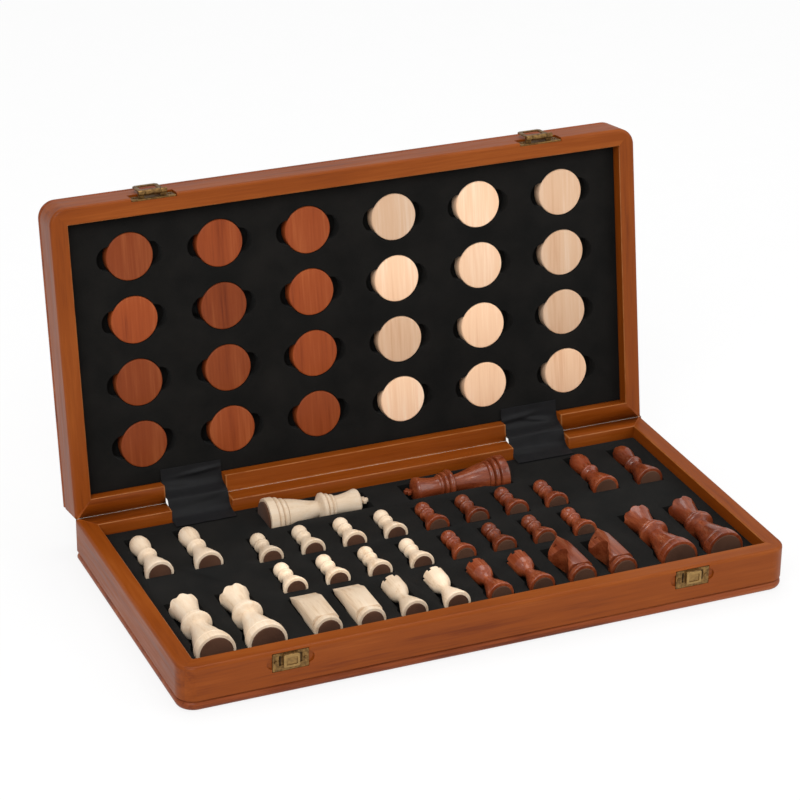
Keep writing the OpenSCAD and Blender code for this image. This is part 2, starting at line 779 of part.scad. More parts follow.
// Catch plate let into the front rail, with a raised block that the hasp drops over
module catch_plate() {
    difference() {
        union() {
            translate([-catch_w / 2, front_y, catch_mid - catch_h / 2])
                cube([catch_w, plate_t, catch_h]);
            translate([-block_w / 2, front_y - block_out, block_top - block_h])
                cube([block_w, block_out + plate_t / 2, block_h]);
        }
        for (i = [-1, 1])
            translate([i * catch_nail_x, front_y - past, catch_mid])
                rotate([-90, 0, 0]) cylinder(r = nail_r, h = plate_t + 2 * past);
    }
}

module left_catch_plate() { color(brass) translate([-latch_x, 0, 0]) catch_plate(); }
module right_catch_plate() { color(brass) translate([latch_x, 0, 0]) catch_plate(); }

// Nail with a flat head, its head's underside at the origin, driven along +Y
module nail() {
    rotate([-90, 0, 0]) cylinder(r = nail_r, h = nail_len);
    translate([0, -nail_head_h, 0]) rotate([-90, 0, 0]) cylinder(r = nail_head_r, h = nail_head_h);
}

module catch_nails() {
    color(brass)
        for (s = [-1, 1])
            for (i = [-1, 1])
                translate([s * latch_x + i * catch_nail_x, front_y, catch_mid]) nail();
}

// Hasp plate on the floor of the lid's mortise, with a knuckle at each end of the barrel
module hasp_plate() {
    y0 = front_y + mortise_d - plate_t;
    difference() {
        union() {
            translate([-mortise_w / 2 + plate_clear, y0, lid_rim + plate_clear])
                cube([mortise_w - 2 * plate_clear, plate_t, hasp_plate_h]);
            for (s = [-1, 1]) {
                a = s > 0 ? hasp_knuckle / 2 + knuckle_gap / 2 : -hasp_barrel / 2;
                w = hasp_barrel / 2 - hasp_knuckle / 2 - knuckle_gap / 2;
                translate([a, hasp_y, hasp_z]) rotate([0, 90, 0])
                    cylinder(r = hasp_barrel_r, h = w);
                translate([a, hasp_y, hasp_z + hasp_barrel_r - plate_t])
                    cube([w, y0 - hasp_y + plate_t / 2, plate_t]);
            }
        }
        translate([-hasp_barrel, hasp_y, hasp_z]) rotate([0, 90, 0])
            cylinder(r = hasp_pin_r, h = 2 * hasp_barrel);
        for (i = [-1, 1])
            translate([i * hasp_nail_x, y0 - past, hasp_nail_z])
                rotate([-90, 0, 0]) cylinder(r = nail_r, h = plate_t + 2 * past);
    }
}

module left_hasp_plate() { color(brass) with_lid() translate([-latch_x, 0, 0]) hasp_plate(); }
module right_hasp_plate() { color(brass) with_lid() translate([latch_x, 0, 0]) hasp_plate(); }

module hasp_plate_nails() {
    color(brass) with_lid()
        for (s = [-1, 1])
            for (i = [-1, 1])
                translate([s * latch_x + i * hasp_nail_x, front_y + mortise_d - plate_t, hasp_nail_z])
                    nail();
}

module hasp_pins() {
    color(brass) with_lid()
        for (s = [-1, 1])
            translate([s * latch_x - hasp_barrel / 2 + pin_inset, hasp_y, hasp_z])
                rotate([0, 90, 0]) cylinder(r = hasp_pin_r, h = hasp_barrel - 2 * pin_inset);
}

// Hasp with its window, drawn shut and then swung back about its pin
module hasp(x) {
    neck = hasp_knuckle - knuckle_gap;
    with_lid() translate([x, hasp_y, hasp_z]) rotate([-hasp_open, 0, 0])
        difference() {
            union() {
                translate([-neck / 2, 0, 0]) rotate([0, 90, 0]) cylinder(r = hasp_barrel_r, h = neck);
                translate([-neck / 2, -hasp_t / 2, hasp_shoulder - hasp_z - past])
                    cube([neck, hasp_t, hasp_z - hasp_shoulder + past]);
                translate([-hasp_w / 2, -hasp_t / 2, hasp_tip - hasp_z])
                    cube([hasp_w, hasp_t, hasp_shoulder - hasp_tip]);
            }
            translate([-hasp_knuckle, 0, 0]) rotate([0, 90, 0])
                cylinder(r = hasp_pin_r + pin_clear, h = 2 * hasp_knuckle);
            translate([-block_w / 2 - hasp_clear, -hasp_t, window_bottom - hasp_z])
                cube([block_w + 2 * hasp_clear, 2 * hasp_t, window_top - window_bottom]);
        }
}

module left_hasp() { color(brass) hasp(-latch_x); }
module right_hasp() { color(brass) hasp(latch_x); }

// Cream men on the left, brown men on the right
module cream_king() { color(cream) at_king(-1) lying() king(); }
module cream_queens() { color(cream) at_queens(-1) lying() queen(); }
module cream_bishops() { color(cream) at_bishops(-1) lying() bishop(); }
// Cream knights lie on their faces
module cream_knights() { color(cream) at_knights(-1) lying() rotate([0, 0, 90]) knight(); }
module cream_rooks() { color(cream) at_rooks(-1) lying() rook(); }
module cream_pawns() { color(cream) at_pawns(-1) lying() pawn(); }
module cream_king_felt() { color(brown_felt) at_king(-1) lying() felt(king_r); }
module cream_queen_felts() { color(brown_felt) at_queens(-1) lying() felt(queen_r); }
module cream_bishop_felts() { color(brown_felt) at_bishops(-1) lying() felt(bishop_r); }
module cream_knight_felts() { color(brown_felt) at_knights(-1) lying() felt(knight_r); }
module cream_rook_felts() { color(brown_felt) at_rooks(-1) lying() felt(rook_r); }
module cream_pawn_felts() { color(brown_felt) at_pawns(-1) lying() felt(pawn_r); }
module brown_king() { color(red_brown) at_king(1) lying() king(); }
module brown_queens() { color(red_brown) at_queens(1) lying() queen(); }
module brown_bishops() { color(red_brown) at_bishops(1) lying() bishop(); }
// Brown knights lie on their sides with their muzzles to the left
module brown_knights() { color(red_brown) at_knights(1) lying() rotate([0, 0, 180]) knight(); }
module brown_rooks() { color(red_brown) at_rooks(1) lying() rook(); }
module brown_pawns() { color(red_brown) at_pawns(1) lying() pawn(); }
module brown_king_felt() { color(brown_felt) at_king(1) lying() felt(king_r); }
module brown_queen_felts() { color(brown_felt) at_queens(1) lying() felt(queen_r); }
module brown_bishop_felts() { color(brown_felt) at_bishops(1) lying() felt(bishop_r); }
module brown_knight_felts() { color(brown_felt) at_knights(1) lying() felt(knight_r); }
module brown_rook_felts() { color(brown_felt) at_rooks(1) lying() felt(rook_r); }
module brown_pawn_felts() { color(brown_felt) at_pawns(1) lying() felt(pawn_r); }

base_front_rail();
base_back_rail();
base_left_rail();
base_right_rail();
base_board_panel();
base_light_squares();
base_dark_squares();
base_foam_tray();
lid_front_rail();
lid_back_rail();
lid_left_rail();
lid_right_rail();
lid_board_panel();
lid_light_squares();
lid_dark_squares();
lid_foam_tray();
left_hinge_base_leaf();
left_hinge_lid_leaf();
right_hinge_base_leaf();
right_hinge_lid_leaf();
hinge_pins();
hinge_base_screws();
hinge_lid_screws();
hinge_base_covers();
hinge_lid_covers();
left_catch_plate();
right_catch_plate();
catch_nails();
left_hasp_plate();
right_hasp_plate();
hasp_plate_nails();
hasp_pins();
left_hasp();
right_hasp();
cream_king();
cream_queens();
cream_bishops();
cream_knights();
cream_rooks();
cream_pawns();
cream_king_felt();
cream_queen_felts();
cream_bishop_felts();
cream_knight_felts();
cream_rook_felts();
cream_pawn_felts();
brown_king();
brown_queens();
brown_bishops();
brown_knights();
brown_rooks();
brown_pawns();
brown_king_felt();
brown_queen_felts();
brown_bishop_felts();
brown_knight_felts();
brown_rook_felts();
brown_pawn_felts();
brown_counters();
natural_counters();
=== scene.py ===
"""Looks of a folding games box, opened, with its chess men and counters in black flocked trays.

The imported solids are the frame. Front and side rails, panels, squares, the metal of the hinges,
nails and pins stay as they are and get their finish here. The back rails, the trays, the cloth
over the hinges, the men, the counters and the latches are modelled again, with finer detail.
"""

import enum
import logging
import math
import random
from collections.abc import Callable, Sequence
from dataclasses import dataclass, field

import bmesh
import bpy
from mathutils import Matrix, Vector, noise


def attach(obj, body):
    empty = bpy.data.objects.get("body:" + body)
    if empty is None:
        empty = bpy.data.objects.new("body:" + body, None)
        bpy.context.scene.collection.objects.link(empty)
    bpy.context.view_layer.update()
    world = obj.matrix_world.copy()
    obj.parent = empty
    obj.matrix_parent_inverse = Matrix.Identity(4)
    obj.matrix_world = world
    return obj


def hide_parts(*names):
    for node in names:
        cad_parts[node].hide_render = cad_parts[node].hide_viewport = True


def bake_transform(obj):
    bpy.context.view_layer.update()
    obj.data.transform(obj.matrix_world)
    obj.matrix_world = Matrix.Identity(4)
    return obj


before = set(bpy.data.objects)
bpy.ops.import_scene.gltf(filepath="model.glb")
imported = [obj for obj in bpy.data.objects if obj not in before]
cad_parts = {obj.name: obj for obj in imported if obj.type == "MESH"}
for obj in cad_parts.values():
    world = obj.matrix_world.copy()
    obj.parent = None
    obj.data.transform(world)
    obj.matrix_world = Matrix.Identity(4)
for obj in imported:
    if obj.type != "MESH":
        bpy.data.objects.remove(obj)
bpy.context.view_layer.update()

MM = 0.001
TO_METRES = Matrix.Scale(MM, 4)
UP_TO_BACK = Matrix.Rotation(math.radians(-90), 4, "X")
log = logging.getLogger("games_box")

Point = tuple[float, float]
Rgb = tuple[float, float, float]


def linear(shown: Rgb) -> tuple[float, float, float, float]:
    """Turn a colour as it is seen on a screen, 0 to 255, into the value that a shader takes.

    Args:
        shown: Red, green and blue as shown.

    Returns:
        The linear colour with full alpha.
    """
    parts = [c / 255 for c in shown]
    return (*(c / 12.92 if c <= 0.04045 else ((c + 0.055) / 1.055) ** 2.4 for c in parts), 1.0)


class Half(enum.Enum):
    """The two halves of the box."""

    BASE = "base"
    LID = "lid"


class Grain(enum.Enum):
    """The way the grain of a piece of wood runs, in its own half of the box."""

    ALONG_X = (0.045, 1.0, 1.0)
    ALONG_Y = (1.0, 0.045, 1.0)


@dataclass(frozen=True)
class BoxSizes:
    """Sizes of the box in millimetres that its sub-assemblies share."""

    length: float = 390.0
    half_h: float = 28.5
    rail_t: float = 11.0
    recess: float = 8.0
    fold_gap: float = 0.3
    lid_open: float = 98.7
    hinge_x: float = 116.5
    notch_w: float = 40.0
    latch_x: float = 129.0

    @property
    def back_y(self) -> float:
        """Outer face of the back rail."""
        return self.length / 4

    @property
    def in_side(self) -> float:
        """Inner face of a side rail."""
        return self.length / 2 - self.rail_t

    @property
    def in_back(self) -> float:
        """Inner face of the back rail, as far from the middle as the front rail's."""
        return self.back_y - self.rail_t

    @property
    def foam_z(self) -> float:
        """Face of the foam."""
        return self.half_h - self.recess

    @property
    def axis(self) -> Vector:
        """A point on the hinge axis."""
        return Vector((0, self.back_y + self.fold_gap / 2, self.half_h + self.fold_gap / 2))

    def swing(self) -> Matrix:
        """Turn from the shut lid to the opened one, about the hinge axis."""
        turn = Matrix.Rotation(math.radians(-self.lid_open), 4, "X")
        return Matrix.Translation(self.axis) @ turn @ Matrix.Translation(-self.axis)

    def into_lid(self) -> Matrix:
        """Place of a shape, drawn as part of a lower half, on the opened lid."""
        flip = Matrix.Diagonal((1, 1, -1, 1))
        there, back = Matrix.Translation(self.axis), Matrix.Translation(-self.axis)
        return self.swing() @ there @ flip @ back

    def place(self, half: Half) -> Matrix:
        """Place of a shape that is drawn as part of a lower half."""
        return self.into_lid() if half is Half.LID else Matrix.Identity(4)


BOX = BoxSizes()


class Bench:
    """Modelling by hand with Blender's operators, in millimetres until a piece is copied."""

    @staticmethod
    def clear() -> None:
        """Leave edit mode and deselect everything."""
        if bpy.context.mode != "OBJECT":
            bpy.ops.object.mode_set(mode="OBJECT")
        bpy.ops.object.select_all(action="DESELECT")

    @staticmethod
    def only(piece: bpy.types.Object) -> None:
        """Make one piece the selected and active one."""
        Bench.clear()
        piece.select_set(True)
        bpy.context.view_layer.objects.active = piece

    @staticmethod
    def edit(piece: bpy.types.Object, mode: str = "VERT") -> None:
        """Open a piece in edit mode with nothing selected."""
        Bench.only(piece)
        bpy.ops.object.mode_set(mode="EDIT")
        bpy.ops.mesh.select_mode(type=mode)
        bpy.ops.mesh.select_all(action="DESELECT")

    @staticmethod
    def name(piece: bpy.types.Object, name: str) -> bpy.types.Object:
        """Name a piece and its mesh."""
        piece.name = name
        piece.data.name = name
        return piece

    @staticmethod
    def chain(name: str, points: Sequence[Vector]) -> bpy.types.Object:
        """Draw a chain of edges by extruding one vertex from point to point.

        Args:
            name: Name of the new piece.
            points: The points to pass, the first included.

        Returns:
            The piece, in edit mode with the whole chain selected.
        """
        Bench.clear()
        bpy.ops.mesh.primitive_plane_add(size=1, location=(0, 0, 0))
        piece = Bench.name(bpy.context.object, name)
        Bench.edit(piece)
        bpy.ops.mesh.select_all(action="SELECT")
        bpy.ops.mesh.merge(type="CENTER")
        bpy.ops.transform.translate(value=points[0])
        for before, after in zip(points, points[1:]):
            bpy.ops.mesh.extrude_region_move(TRANSFORM_OT_translate={"value": after - before})
        bpy.ops.mesh.select_all(action="SELECT")
        return piece

    @staticmethod
    def lathe(name: str, profile: Sequence[Point], steps: int = 48) -> bpy.types.Object:
        """Turn a profile about the upright axis.

        Args:
            name: Name of the new piece.
            profile: Radius and height of each point, closed on the axis at both ends.
            steps: Facets round the piece.

        Returns:
            The turned piece with its normals outside.
        """
        piece = Bench.chain(name, [Vector((r, 0, z)) for r, z in profile])
        bpy.ops.mesh.spin(steps=steps, angle=math.tau, center=(0, 0, 0), axis=(0, 0, 1))
        bpy.ops.mesh.select_all(action="SELECT")
        bpy.ops.mesh.remove_doubles(threshold=0.001)
        bpy.ops.mesh.normals_make_consistent(inside=False)
        return piece

    @staticmethod
    def plate(name: str, outline: Sequence[Vector], depth: Vector) -> bpy.types.Object:
        """Fill an outline and extrude it.

        Args:
            name: Name of the new piece.
            outline: Corners in order, all in one plane.
            depth: Way and length of the extrusion.

        Returns:
            The closed plate with its normals outside.
        """
        piece = Bench.chain(name, outline)
        bpy.ops.mesh.edge_face_add()
        bpy.ops.mesh.extrude_region_move(TRANSFORM_OT_translate={"value": depth})
        bpy.ops.mesh.select_all(action="SELECT")
        bpy.ops.mesh.normals_make_consistent(inside=False)
        return piece

    @staticmethod
    def rod(name: str, radius: float, start: Vector, end: Vector,
            sides: int = 32) -> bpy.types.Object:
        """Make a round rod between two points.

        Args:
            name: Name of the new piece.
            radius: Its radius.
            start: Middle of one end.
            end: Middle of the other end.
            sides: Facets round it.

        Returns:
            The rod.
        """
        Bench.clear()
        way = end - start
        bpy.ops.mesh.primitive_cylinder_add(
            vertices=sides, radius=radius, depth=way.length, location=(start + end) / 2,
            rotation=way.to_track_quat("Z", "Y").to_euler())
        bpy.ops.object.transform_apply(location=True, rotation=True, scale=True)
        return Bench.name(bpy.context.object, name)

    @staticmethod
    def block(name: str, low: Vector, high: Vector) -> bpy.types.Object:
        """Make a square block between two corners."""
        Bench.clear()
        bpy.ops.mesh.primitive_cube_add(size=1, location=(low + high) / 2, scale=high - low)
        bpy.ops.object.transform_apply(location=True, rotation=True, scale=True)
        return Bench.name(bpy.context.object, name)

    @staticmethod
    def bevel(piece: bpy.types.Object, width: float, segments: int,
              test: Callable[[bmesh.types.BMEdge], bool]) -> None:
        """Bevel the edges of a piece that pass a test.

        Args:
            piece: The piece to soften.
            width: Width of the bevel.
            segments: Facets across it.
            test: Says whether an edge is taken.
        """
        Bench.edit(piece, "EDGE")
        mesh = bmesh.from_edit_mesh(piece.data)
        for edge in mesh.edges:
            edge.select_set(test(edge))
        bmesh.update_edit_mesh(piece.data)
        bpy.ops.mesh.bevel(offset=width, offset_type="OFFSET", segments=segments, affect="EDGES",
                           clamp_overlap=True)

    @staticmethod
    def modify(piece: bpy.types.Object, kind: str, **settings: object) -> None:
        """Add a modifier to a piece and apply it."""
        Bench.only(piece)
        modifier = piece.modifiers.new(kind.title(), kind)
        for key, value in settings.items():
            setattr(modifier, key, value)
        bpy.ops.object.modifier_apply(modifier=modifier.name)

    @staticmethod
    def cut(piece: bpy.types.Object, *tools: bpy.types.Object, join: bool = False) -> None:
        """Cut tools out of a piece, or join them to it, and throw the tools away."""
        for tool in tools:
            Bench.modify(piece, "BOOLEAN", object=tool, solver="EXACT",
                         operation="UNION" if join else "DIFFERENCE")
            bpy.data.objects.remove(tool)

    @staticmethod
    def smooth(piece: bpy.types.Object, angle: float = 38) -> bpy.types.Object:
        """Shade a piece smooth, with creases sharper than an angle in degrees."""
        Bench.only(piece)
        bpy.ops.object.shade_smooth_by_angle(angle=math.radians(angle))
        Bench.clear()
        return piece

    @staticmethod
    def copy(piece: bpy.types.Object, name: str, place: Matrix) -> bpy.types.Object:
        """Copy a piece with its own mesh to its place in the row frame, in metres.

        Args:
            piece: The piece, modelled in millimetres.
            name: Name of the copy.
            place: Its place, in millimetres.

        Returns:
            The copy, with its place in its mesh.
        """
        made = bpy.data.objects.new(name, piece.data.copy())
        bpy.context.scene.collection.objects.link(made)
        made.data.name = name
        made.data.transform(TO_METRES @ place)
        if place.determinant() < 0:
            made.data.flip_normals()
        return made

    @staticmethod
    def join(name: str, pieces: Sequence[bpy.types.Object]) -> bpy.types.Object:
        """Join pieces into one."""
        Bench.only(pieces[0])
        for piece in pieces:
            piece.select_set(True)
        bpy.ops.object.join()
        Bench.clear()
        return Bench.name(pieces[0], name)


class Nodes:
    """Short hand for the shader nodes of one material."""

    def __init__(self, name: str) -> None:
        """Start a material with a principled shader."""
        self.material = bpy.data.materials.new(name)
        self.material.use_nodes = True
        self.tree = self.material.node_tree
        self.tree.nodes.clear()
        self.out = self.tree.nodes.new("ShaderNodeOutputMaterial")
        self.shader = self.tree.nodes.new("ShaderNodeBsdfPrincipled")
        self.tree.links.new(self.shader.outputs[0], self.out.inputs["Surface"])
        self.place = self.add("ShaderNodeTexCoord").outputs["Object"]

    def put(self, socket: bpy.types.NodeSocket, value: object) -> None:
        """Link a socket to another one, or set its value."""
        if isinstance(value, bpy.types.NodeSocket):
            self.tree.links.new(value, socket)
        else:
            socket.default_value = value

    def add(self, kind: str, inputs: dict[str | int, object] | None = None,
            **settings: object) -> bpy.types.Node:
        """Add a node.

        Args:
            kind: Type of the node.
            inputs: Values or links of its inputs, by name or number.
            settings: Its own settings.

        Returns:
            The node.
        """
        node = self.tree.nodes.new(kind)
        for key, value in settings.items():
            setattr(node, key, value)
        for key, value in (inputs or {}).items():
            self.put(node.inputs[key], value)
        return node

    def surface(self, **values: object) -> None:
        """Set inputs of the principled shader; an underline stands for a space."""
        for key, value in values.items():
            self.put(self.shader.inputs[key.replace("_", " ")], value)

    def math(self, operation: str, *values: object) -> bpy.types.NodeSocket:
        """Add a sum of one to three values."""
        return self.add("ShaderNodeMath", dict(enumerate(values)), operation=operation).outputs[0]

    def mapped(self, vector: object, location: object = (0, 0, 0), rotation: object = (0, 0, 0),
               scale: object = (1, 1, 1)) -> bpy.types.NodeSocket:
        """Move, turn and scale a pattern's coordinates."""
        node = self.add("ShaderNodeMapping", {"Vector": vector, "Location": location,
                                              "Rotation": rotation, "Scale": scale})
        return node.outputs[0]

    def noise(self, vector: object, scale: float, detail: float = 4,
              roughness: float = 0.55) -> bpy.types.NodeSocket:
        """Add a noise pattern, 0 to 1."""
        node = self.add("ShaderNodeTexNoise", {"Vector": vector, "Scale": scale, "Detail": detail,
                                               "Roughness": roughness})
        return node.outputs["Fac"]

    def span(self, value: object, low: float, high: float, to_low: float = 0,
             to_high: float = 1) -> bpy.types.NodeSocket:
        """Fit a value smoothly from one range into another."""
        node = self.add("ShaderNodeMapRange", {"Value": value, "From Min": low, "From Max": high,
                                               "To Min": to_low, "To Max": to_high},
                        interpolation_type="SMOOTHSTEP")
        return node.outputs["Result"]

    def mix(self, share: object, first: object, second: object,
            blend: str = "MIX") -> bpy.types.NodeSocket:
        """Mix two colours."""
        node = self.add("ShaderNodeMix", {0: share, 6: first, 7: second}, data_type="RGBA",
                        blend_type=blend)
        return node.outputs[2]

    def bump(self, height: object, strength: float, distance: float) -> bpy.types.NodeSocket:
        """Add a bump of a real depth in metres."""
        return self.add("ShaderNodeBump", {"Height": height, "Strength": strength,
                                           "Distance": distance}).outputs[0]

    def apart(self, vector: object) -> tuple[bpy.types.NodeSocket, ...]:
        """Split coordinates."""
        return tuple(self.add("ShaderNodeSeparateXYZ", {0: vector}).outputs)

    def in_half(self, half: Half) -> bpy.types.NodeSocket:
        """Coordinates as in a lower half, also for what is on the opened lid, in metres."""
        if half is Half.BASE:
            return self.place
        turn = math.radians(BOX.lid_open)
        axis = BOX.axis * MM
        start = -(Matrix.Rotation(turn, 3, "X") @ axis)
        turned = self.mapped(self.place, location=start, rotation=(turn, 0, 0))
        return self.mapped(turned, location=axis, scale=(1, 1, -1))


@dataclass(frozen=True)
class WoodFinish:
    """Stained and lacquered wood with long grain, pores and softer patches."""

    name: str
    dark: Rgb
    mid: Rgb
    light: Rgb
    grain: Grain
    half: Half = Half.BASE
    streak: float = 130.0
    roughness: float = 0.42
    specular: float = 0.14
    coat: float = 0.06
    coat_roughness: float = 0.2
    pores: float = 0.00006
    toned: bool = False
    # Colour of the pale highlight painted along the rim's inner edges, the notch edges and the seam;
    # None leaves it out.
    worn: Rgb | None = None

    def material(self) -> bpy.types.Material:
        """Build the material."""
        nodes = Nodes(self.name)
        spot = nodes.in_half(self.half)
        along = nodes.mapped(spot, scale=self.grain.value)
        streaks = nodes.noise(along, self.streak, 5, 0.62)
        fine = nodes.noise(along, self.streak * 7, 3, 0.5)
        patch = nodes.noise(spot, 14, 2, 0.5)
        share = nodes.math("MULTIPLY_ADD", fine, 0.35, nodes.math("MULTIPLY", streaks, 0.8))
        share = nodes.math("MULTIPLY_ADD", patch, 0.3, share)
        low = nodes.span(share, 0.48, 0.72)
        high = nodes.span(share, 0.7, 0.95)
        colour = nodes.mix(low, linear(self.dark), linear(self.mid))
        colour = nodes.mix(high, colour, linear(self.light))
        if self.toned:
            tone = nodes.add("ShaderNodeAttribute", attribute_name="tone").outputs["Fac"]
            shade = nodes.span(tone, 0, 1, 0.78, 1.16)
            tint = nodes.add("ShaderNodeCombineColor", {0: shade, 1: shade, 2: shade}).outputs[0]
            colour = nodes.mix(1.0, colour, tint, "MULTIPLY")
        # Painted highlight: the pale colour is mixed in along the edges that the mask finds.
        if self.worn is not None:
            colour = nodes.mix(self.painted_edge_highlight(nodes, spot), colour, linear(self.worn))
        rough = nodes.span(fine, 0.3, 0.7, self.roughness - 0.06, self.roughness + 0.08)
        nodes.surface(Base_Color=colour, Roughness=rough, Specular_IOR_Level=self.specular,
                      Coat_Weight=self.coat, Coat_Roughness=self.coat_roughness,
                      Normal=nodes.bump(fine, 0.4, self.pores))
        return nodes.material

    @staticmethod
    def painted_edge_highlight(nodes: Nodes, spot: bpy.types.NodeSocket) -> bpy.types.NodeSocket:
        """Find the edges where a pale highlight is painted into the colour: the rim's inner top edge,
        the notch edges and the seam at the hinge.

        Args:
            nodes: The material's nodes.
            spot: Coordinates in the half.

        Returns:
            The share of the painted highlight colour, 0 to 1.
        """
        x, y, z = nodes.apart(spot)
        beside = nodes.math("SUBTRACT", nodes.math("ABSOLUTE", x), BOX.in_side * MM)
        behind = nodes.math("SUBTRACT", nodes.math("ABSOLUTE", y), BOX.in_back * MM)
        inner = nodes.math("ABSOLUTE", nodes.math("MAXIMUM", beside, behind))
        below = nodes.math("SUBTRACT", BOX.half_h * MM, z)
        rim = nodes.span(nodes.math("MAXIMUM", inner, below), 0.0002, 0.0007, 1, 0)
        off = nodes.math("SUBTRACT", nodes.math("ABSOLUTE", x), BOX.hinge_x * MM)
        side = nodes.math("SUBTRACT", nodes.math("ABSOLUTE", off), BOX.notch_w / 2 * MM)
        notch = nodes.span(nodes.math("MAXIMUM", nodes.math("ABSOLUTE", side), below),
                           0.0004, 0.001, 0.8, 0)
        at_back = nodes.span(y, (BOX.in_back - 0.2) * MM, BOX.in_back * MM)
        notch = nodes.math("MULTIPLY", notch, at_back)
        seam = nodes.math("MAXIMUM", nodes.math("SUBTRACT", BOX.back_y * MM, y), below)
        seam = nodes.span(seam, 0.0003, 0.0009, 0.7, 0)
        patchy = nodes.span(nodes.noise(spot, 90, 3), 0.3, 0.6, 0.2, 0.75)
        most = nodes.math("MAXIMUM", rim, nodes.math("MAXIMUM", notch, seam))
        return nodes.math("MULTIPLY", most, patchy)


@dataclass(frozen=True)
class BrassFinish:
    """Brass that has gone dull and brown, paler where it is rubbed.

    A front face given as hollow gets painted shade in the recesses behind it and a paler, rubbed block
    before it.
    """

    name: str = "aged_brass"
    dull: Rgb = (92, 66, 36)
    bright: Rgb = (146, 112, 64)
    rubbed: Rgb = (176, 142, 88)
    # Colour of the shade painted into the recesses behind a hollow front face.
    painted_recess_shade: Rgb = (34, 22, 12)
    hollow: float | None = None

    def material(self) -> bpy.types.Material:
        """Build the material."""
        nodes = Nodes(self.name)
        cloud = nodes.noise(nodes.place, 420, 4, 0.6)
        speck = nodes.noise(nodes.place, 2600, 2, 0.5)
        share = nodes.span(nodes.math("MULTIPLY_ADD", speck, 0.3, cloud), 0.45, 0.85)
        colour = nodes.mix(share, linear(self.dull), linear(self.bright))
        if self.hollow is not None:
            _, y, _ = nodes.apart(nodes.place)
            # Painted shade: the recesses behind the front face go dark towards the shade colour.
            deep = nodes.span(y, self.hollow * MM, (self.hollow + 0.5) * MM, 0, 0.85)
            raised = nodes.span(y, (self.hollow - 2.4) * MM, (self.hollow - 1.6) * MM, 0.6, 0)
            colour = nodes.mix(raised, colour, linear(self.rubbed))
            colour = nodes.mix(deep, colour, linear(self.painted_recess_shade))
        nodes.surface(Base_Color=colour,
                      Metallic=0.85, Roughness=nodes.span(cloud, 0.3, 0.7, 0.52, 0.36),
                      Normal=nodes.bump(speck, 0.35, 0.00005))
        return nodes.material


@dataclass(frozen=True)
class FlockFinish:
    """Short pile, as on flocked foam and the felt under the men."""

    name: str
    deep: Rgb
    tip: Rgb
    pile: float = 3200.0
    sheen: float = 0.25
    depth: float = 0.00025

    def material(self) -> bpy.types.Material:
        """Build the material."""
        nodes = Nodes(self.name)
        fibre = nodes.noise(nodes.place, self.pile, 3, 0.7)
        patch = nodes.noise(nodes.place, 45, 3, 0.5)
        share = nodes.math("MULTIPLY_ADD", patch, 0.5, nodes.math("MULTIPLY", fibre, 0.6))
        colour = nodes.mix(nodes.span(share, 0.35, 0.75), linear(self.deep), linear(self.tip))
        nodes.surface(Base_Color=colour, Roughness=0.95, Specular_IOR_Level=0.12,
                      Sheen_Weight=self.sheen, Sheen_Roughness=0.5,
                      Sheen_Tint=(0.55, 0.6, 0.6, 1), Normal=nodes.bump(fibre, 0.6, self.depth))
        return nodes.material


@dataclass(frozen=True)
class ClothFinish:
    """Thin dark woven cloth; the weave runs with the cloth's own UV map."""

    name: str = "cover_cloth"
    deep: Rgb = (10, 10, 11)
    tip: Rgb = (22, 22, 24)
    threads: float = 62.0

    def material(self) -> bpy.types.Material:
        """Build the material."""
        nodes = Nodes(self.name)
        chart = nodes.add("ShaderNodeUVMap", uv_map="UVMap").outputs[0]
        u, v, _ = nodes.apart(nodes.mapped(chart, scale=(self.threads, self.threads * 1.2, 1)))
        warp = nodes.math("SINE", nodes.math("MULTIPLY", u, math.tau))
        weft = nodes.math("SINE", nodes.math("MULTIPLY", v, math.tau))
        weave = nodes.math("MULTIPLY_ADD", nodes.math("MULTIPLY", warp, weft), 0.5, 0.5)
        patch = nodes.noise(nodes.place, 120, 3, 0.5)
        share = nodes.math("MULTIPLY_ADD", weave, 0.5, nodes.math("MULTIPLY", patch, 0.5))
        colour = nodes.mix(nodes.span(share, 0.2, 0.85), linear(self.deep), linear(self.tip))
        nodes.surface(Base_Color=colour, Roughness=0.6, Specular_IOR_Level=0.22,
                      Sheen_Weight=0.1, Sheen_Roughness=0.4, Sheen_Tint=(0.6, 0.62, 0.68, 1),
                      Normal=nodes.bump(weave, 0.3, 0.00008))
        return nodes.material


@dataclass(frozen=True)
class Fitted:
    """What a finished piece is to the frame."""

    body: str
    slot: str
    nodes: tuple[str, ...]

    def settle(self, piece: bpy.types.Object, material: bpy.types.Material) -> bpy.types.Object:
        """Dress a piece, let it ride on its body and stand for its solids.

        Args:
            piece: The finished piece.
            material: Its finish.

        Returns:
            The same piece.
        """
        piece.data.materials.clear()
        piece.data.materials.append(material)
        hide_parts(*self.nodes)
        if self.body:
            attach(piece, self.body)
        log.info("%s: %d faces, on %s", piece.name, len(piece.data.polygons),
                 self.body or "two bodies")
        return piece


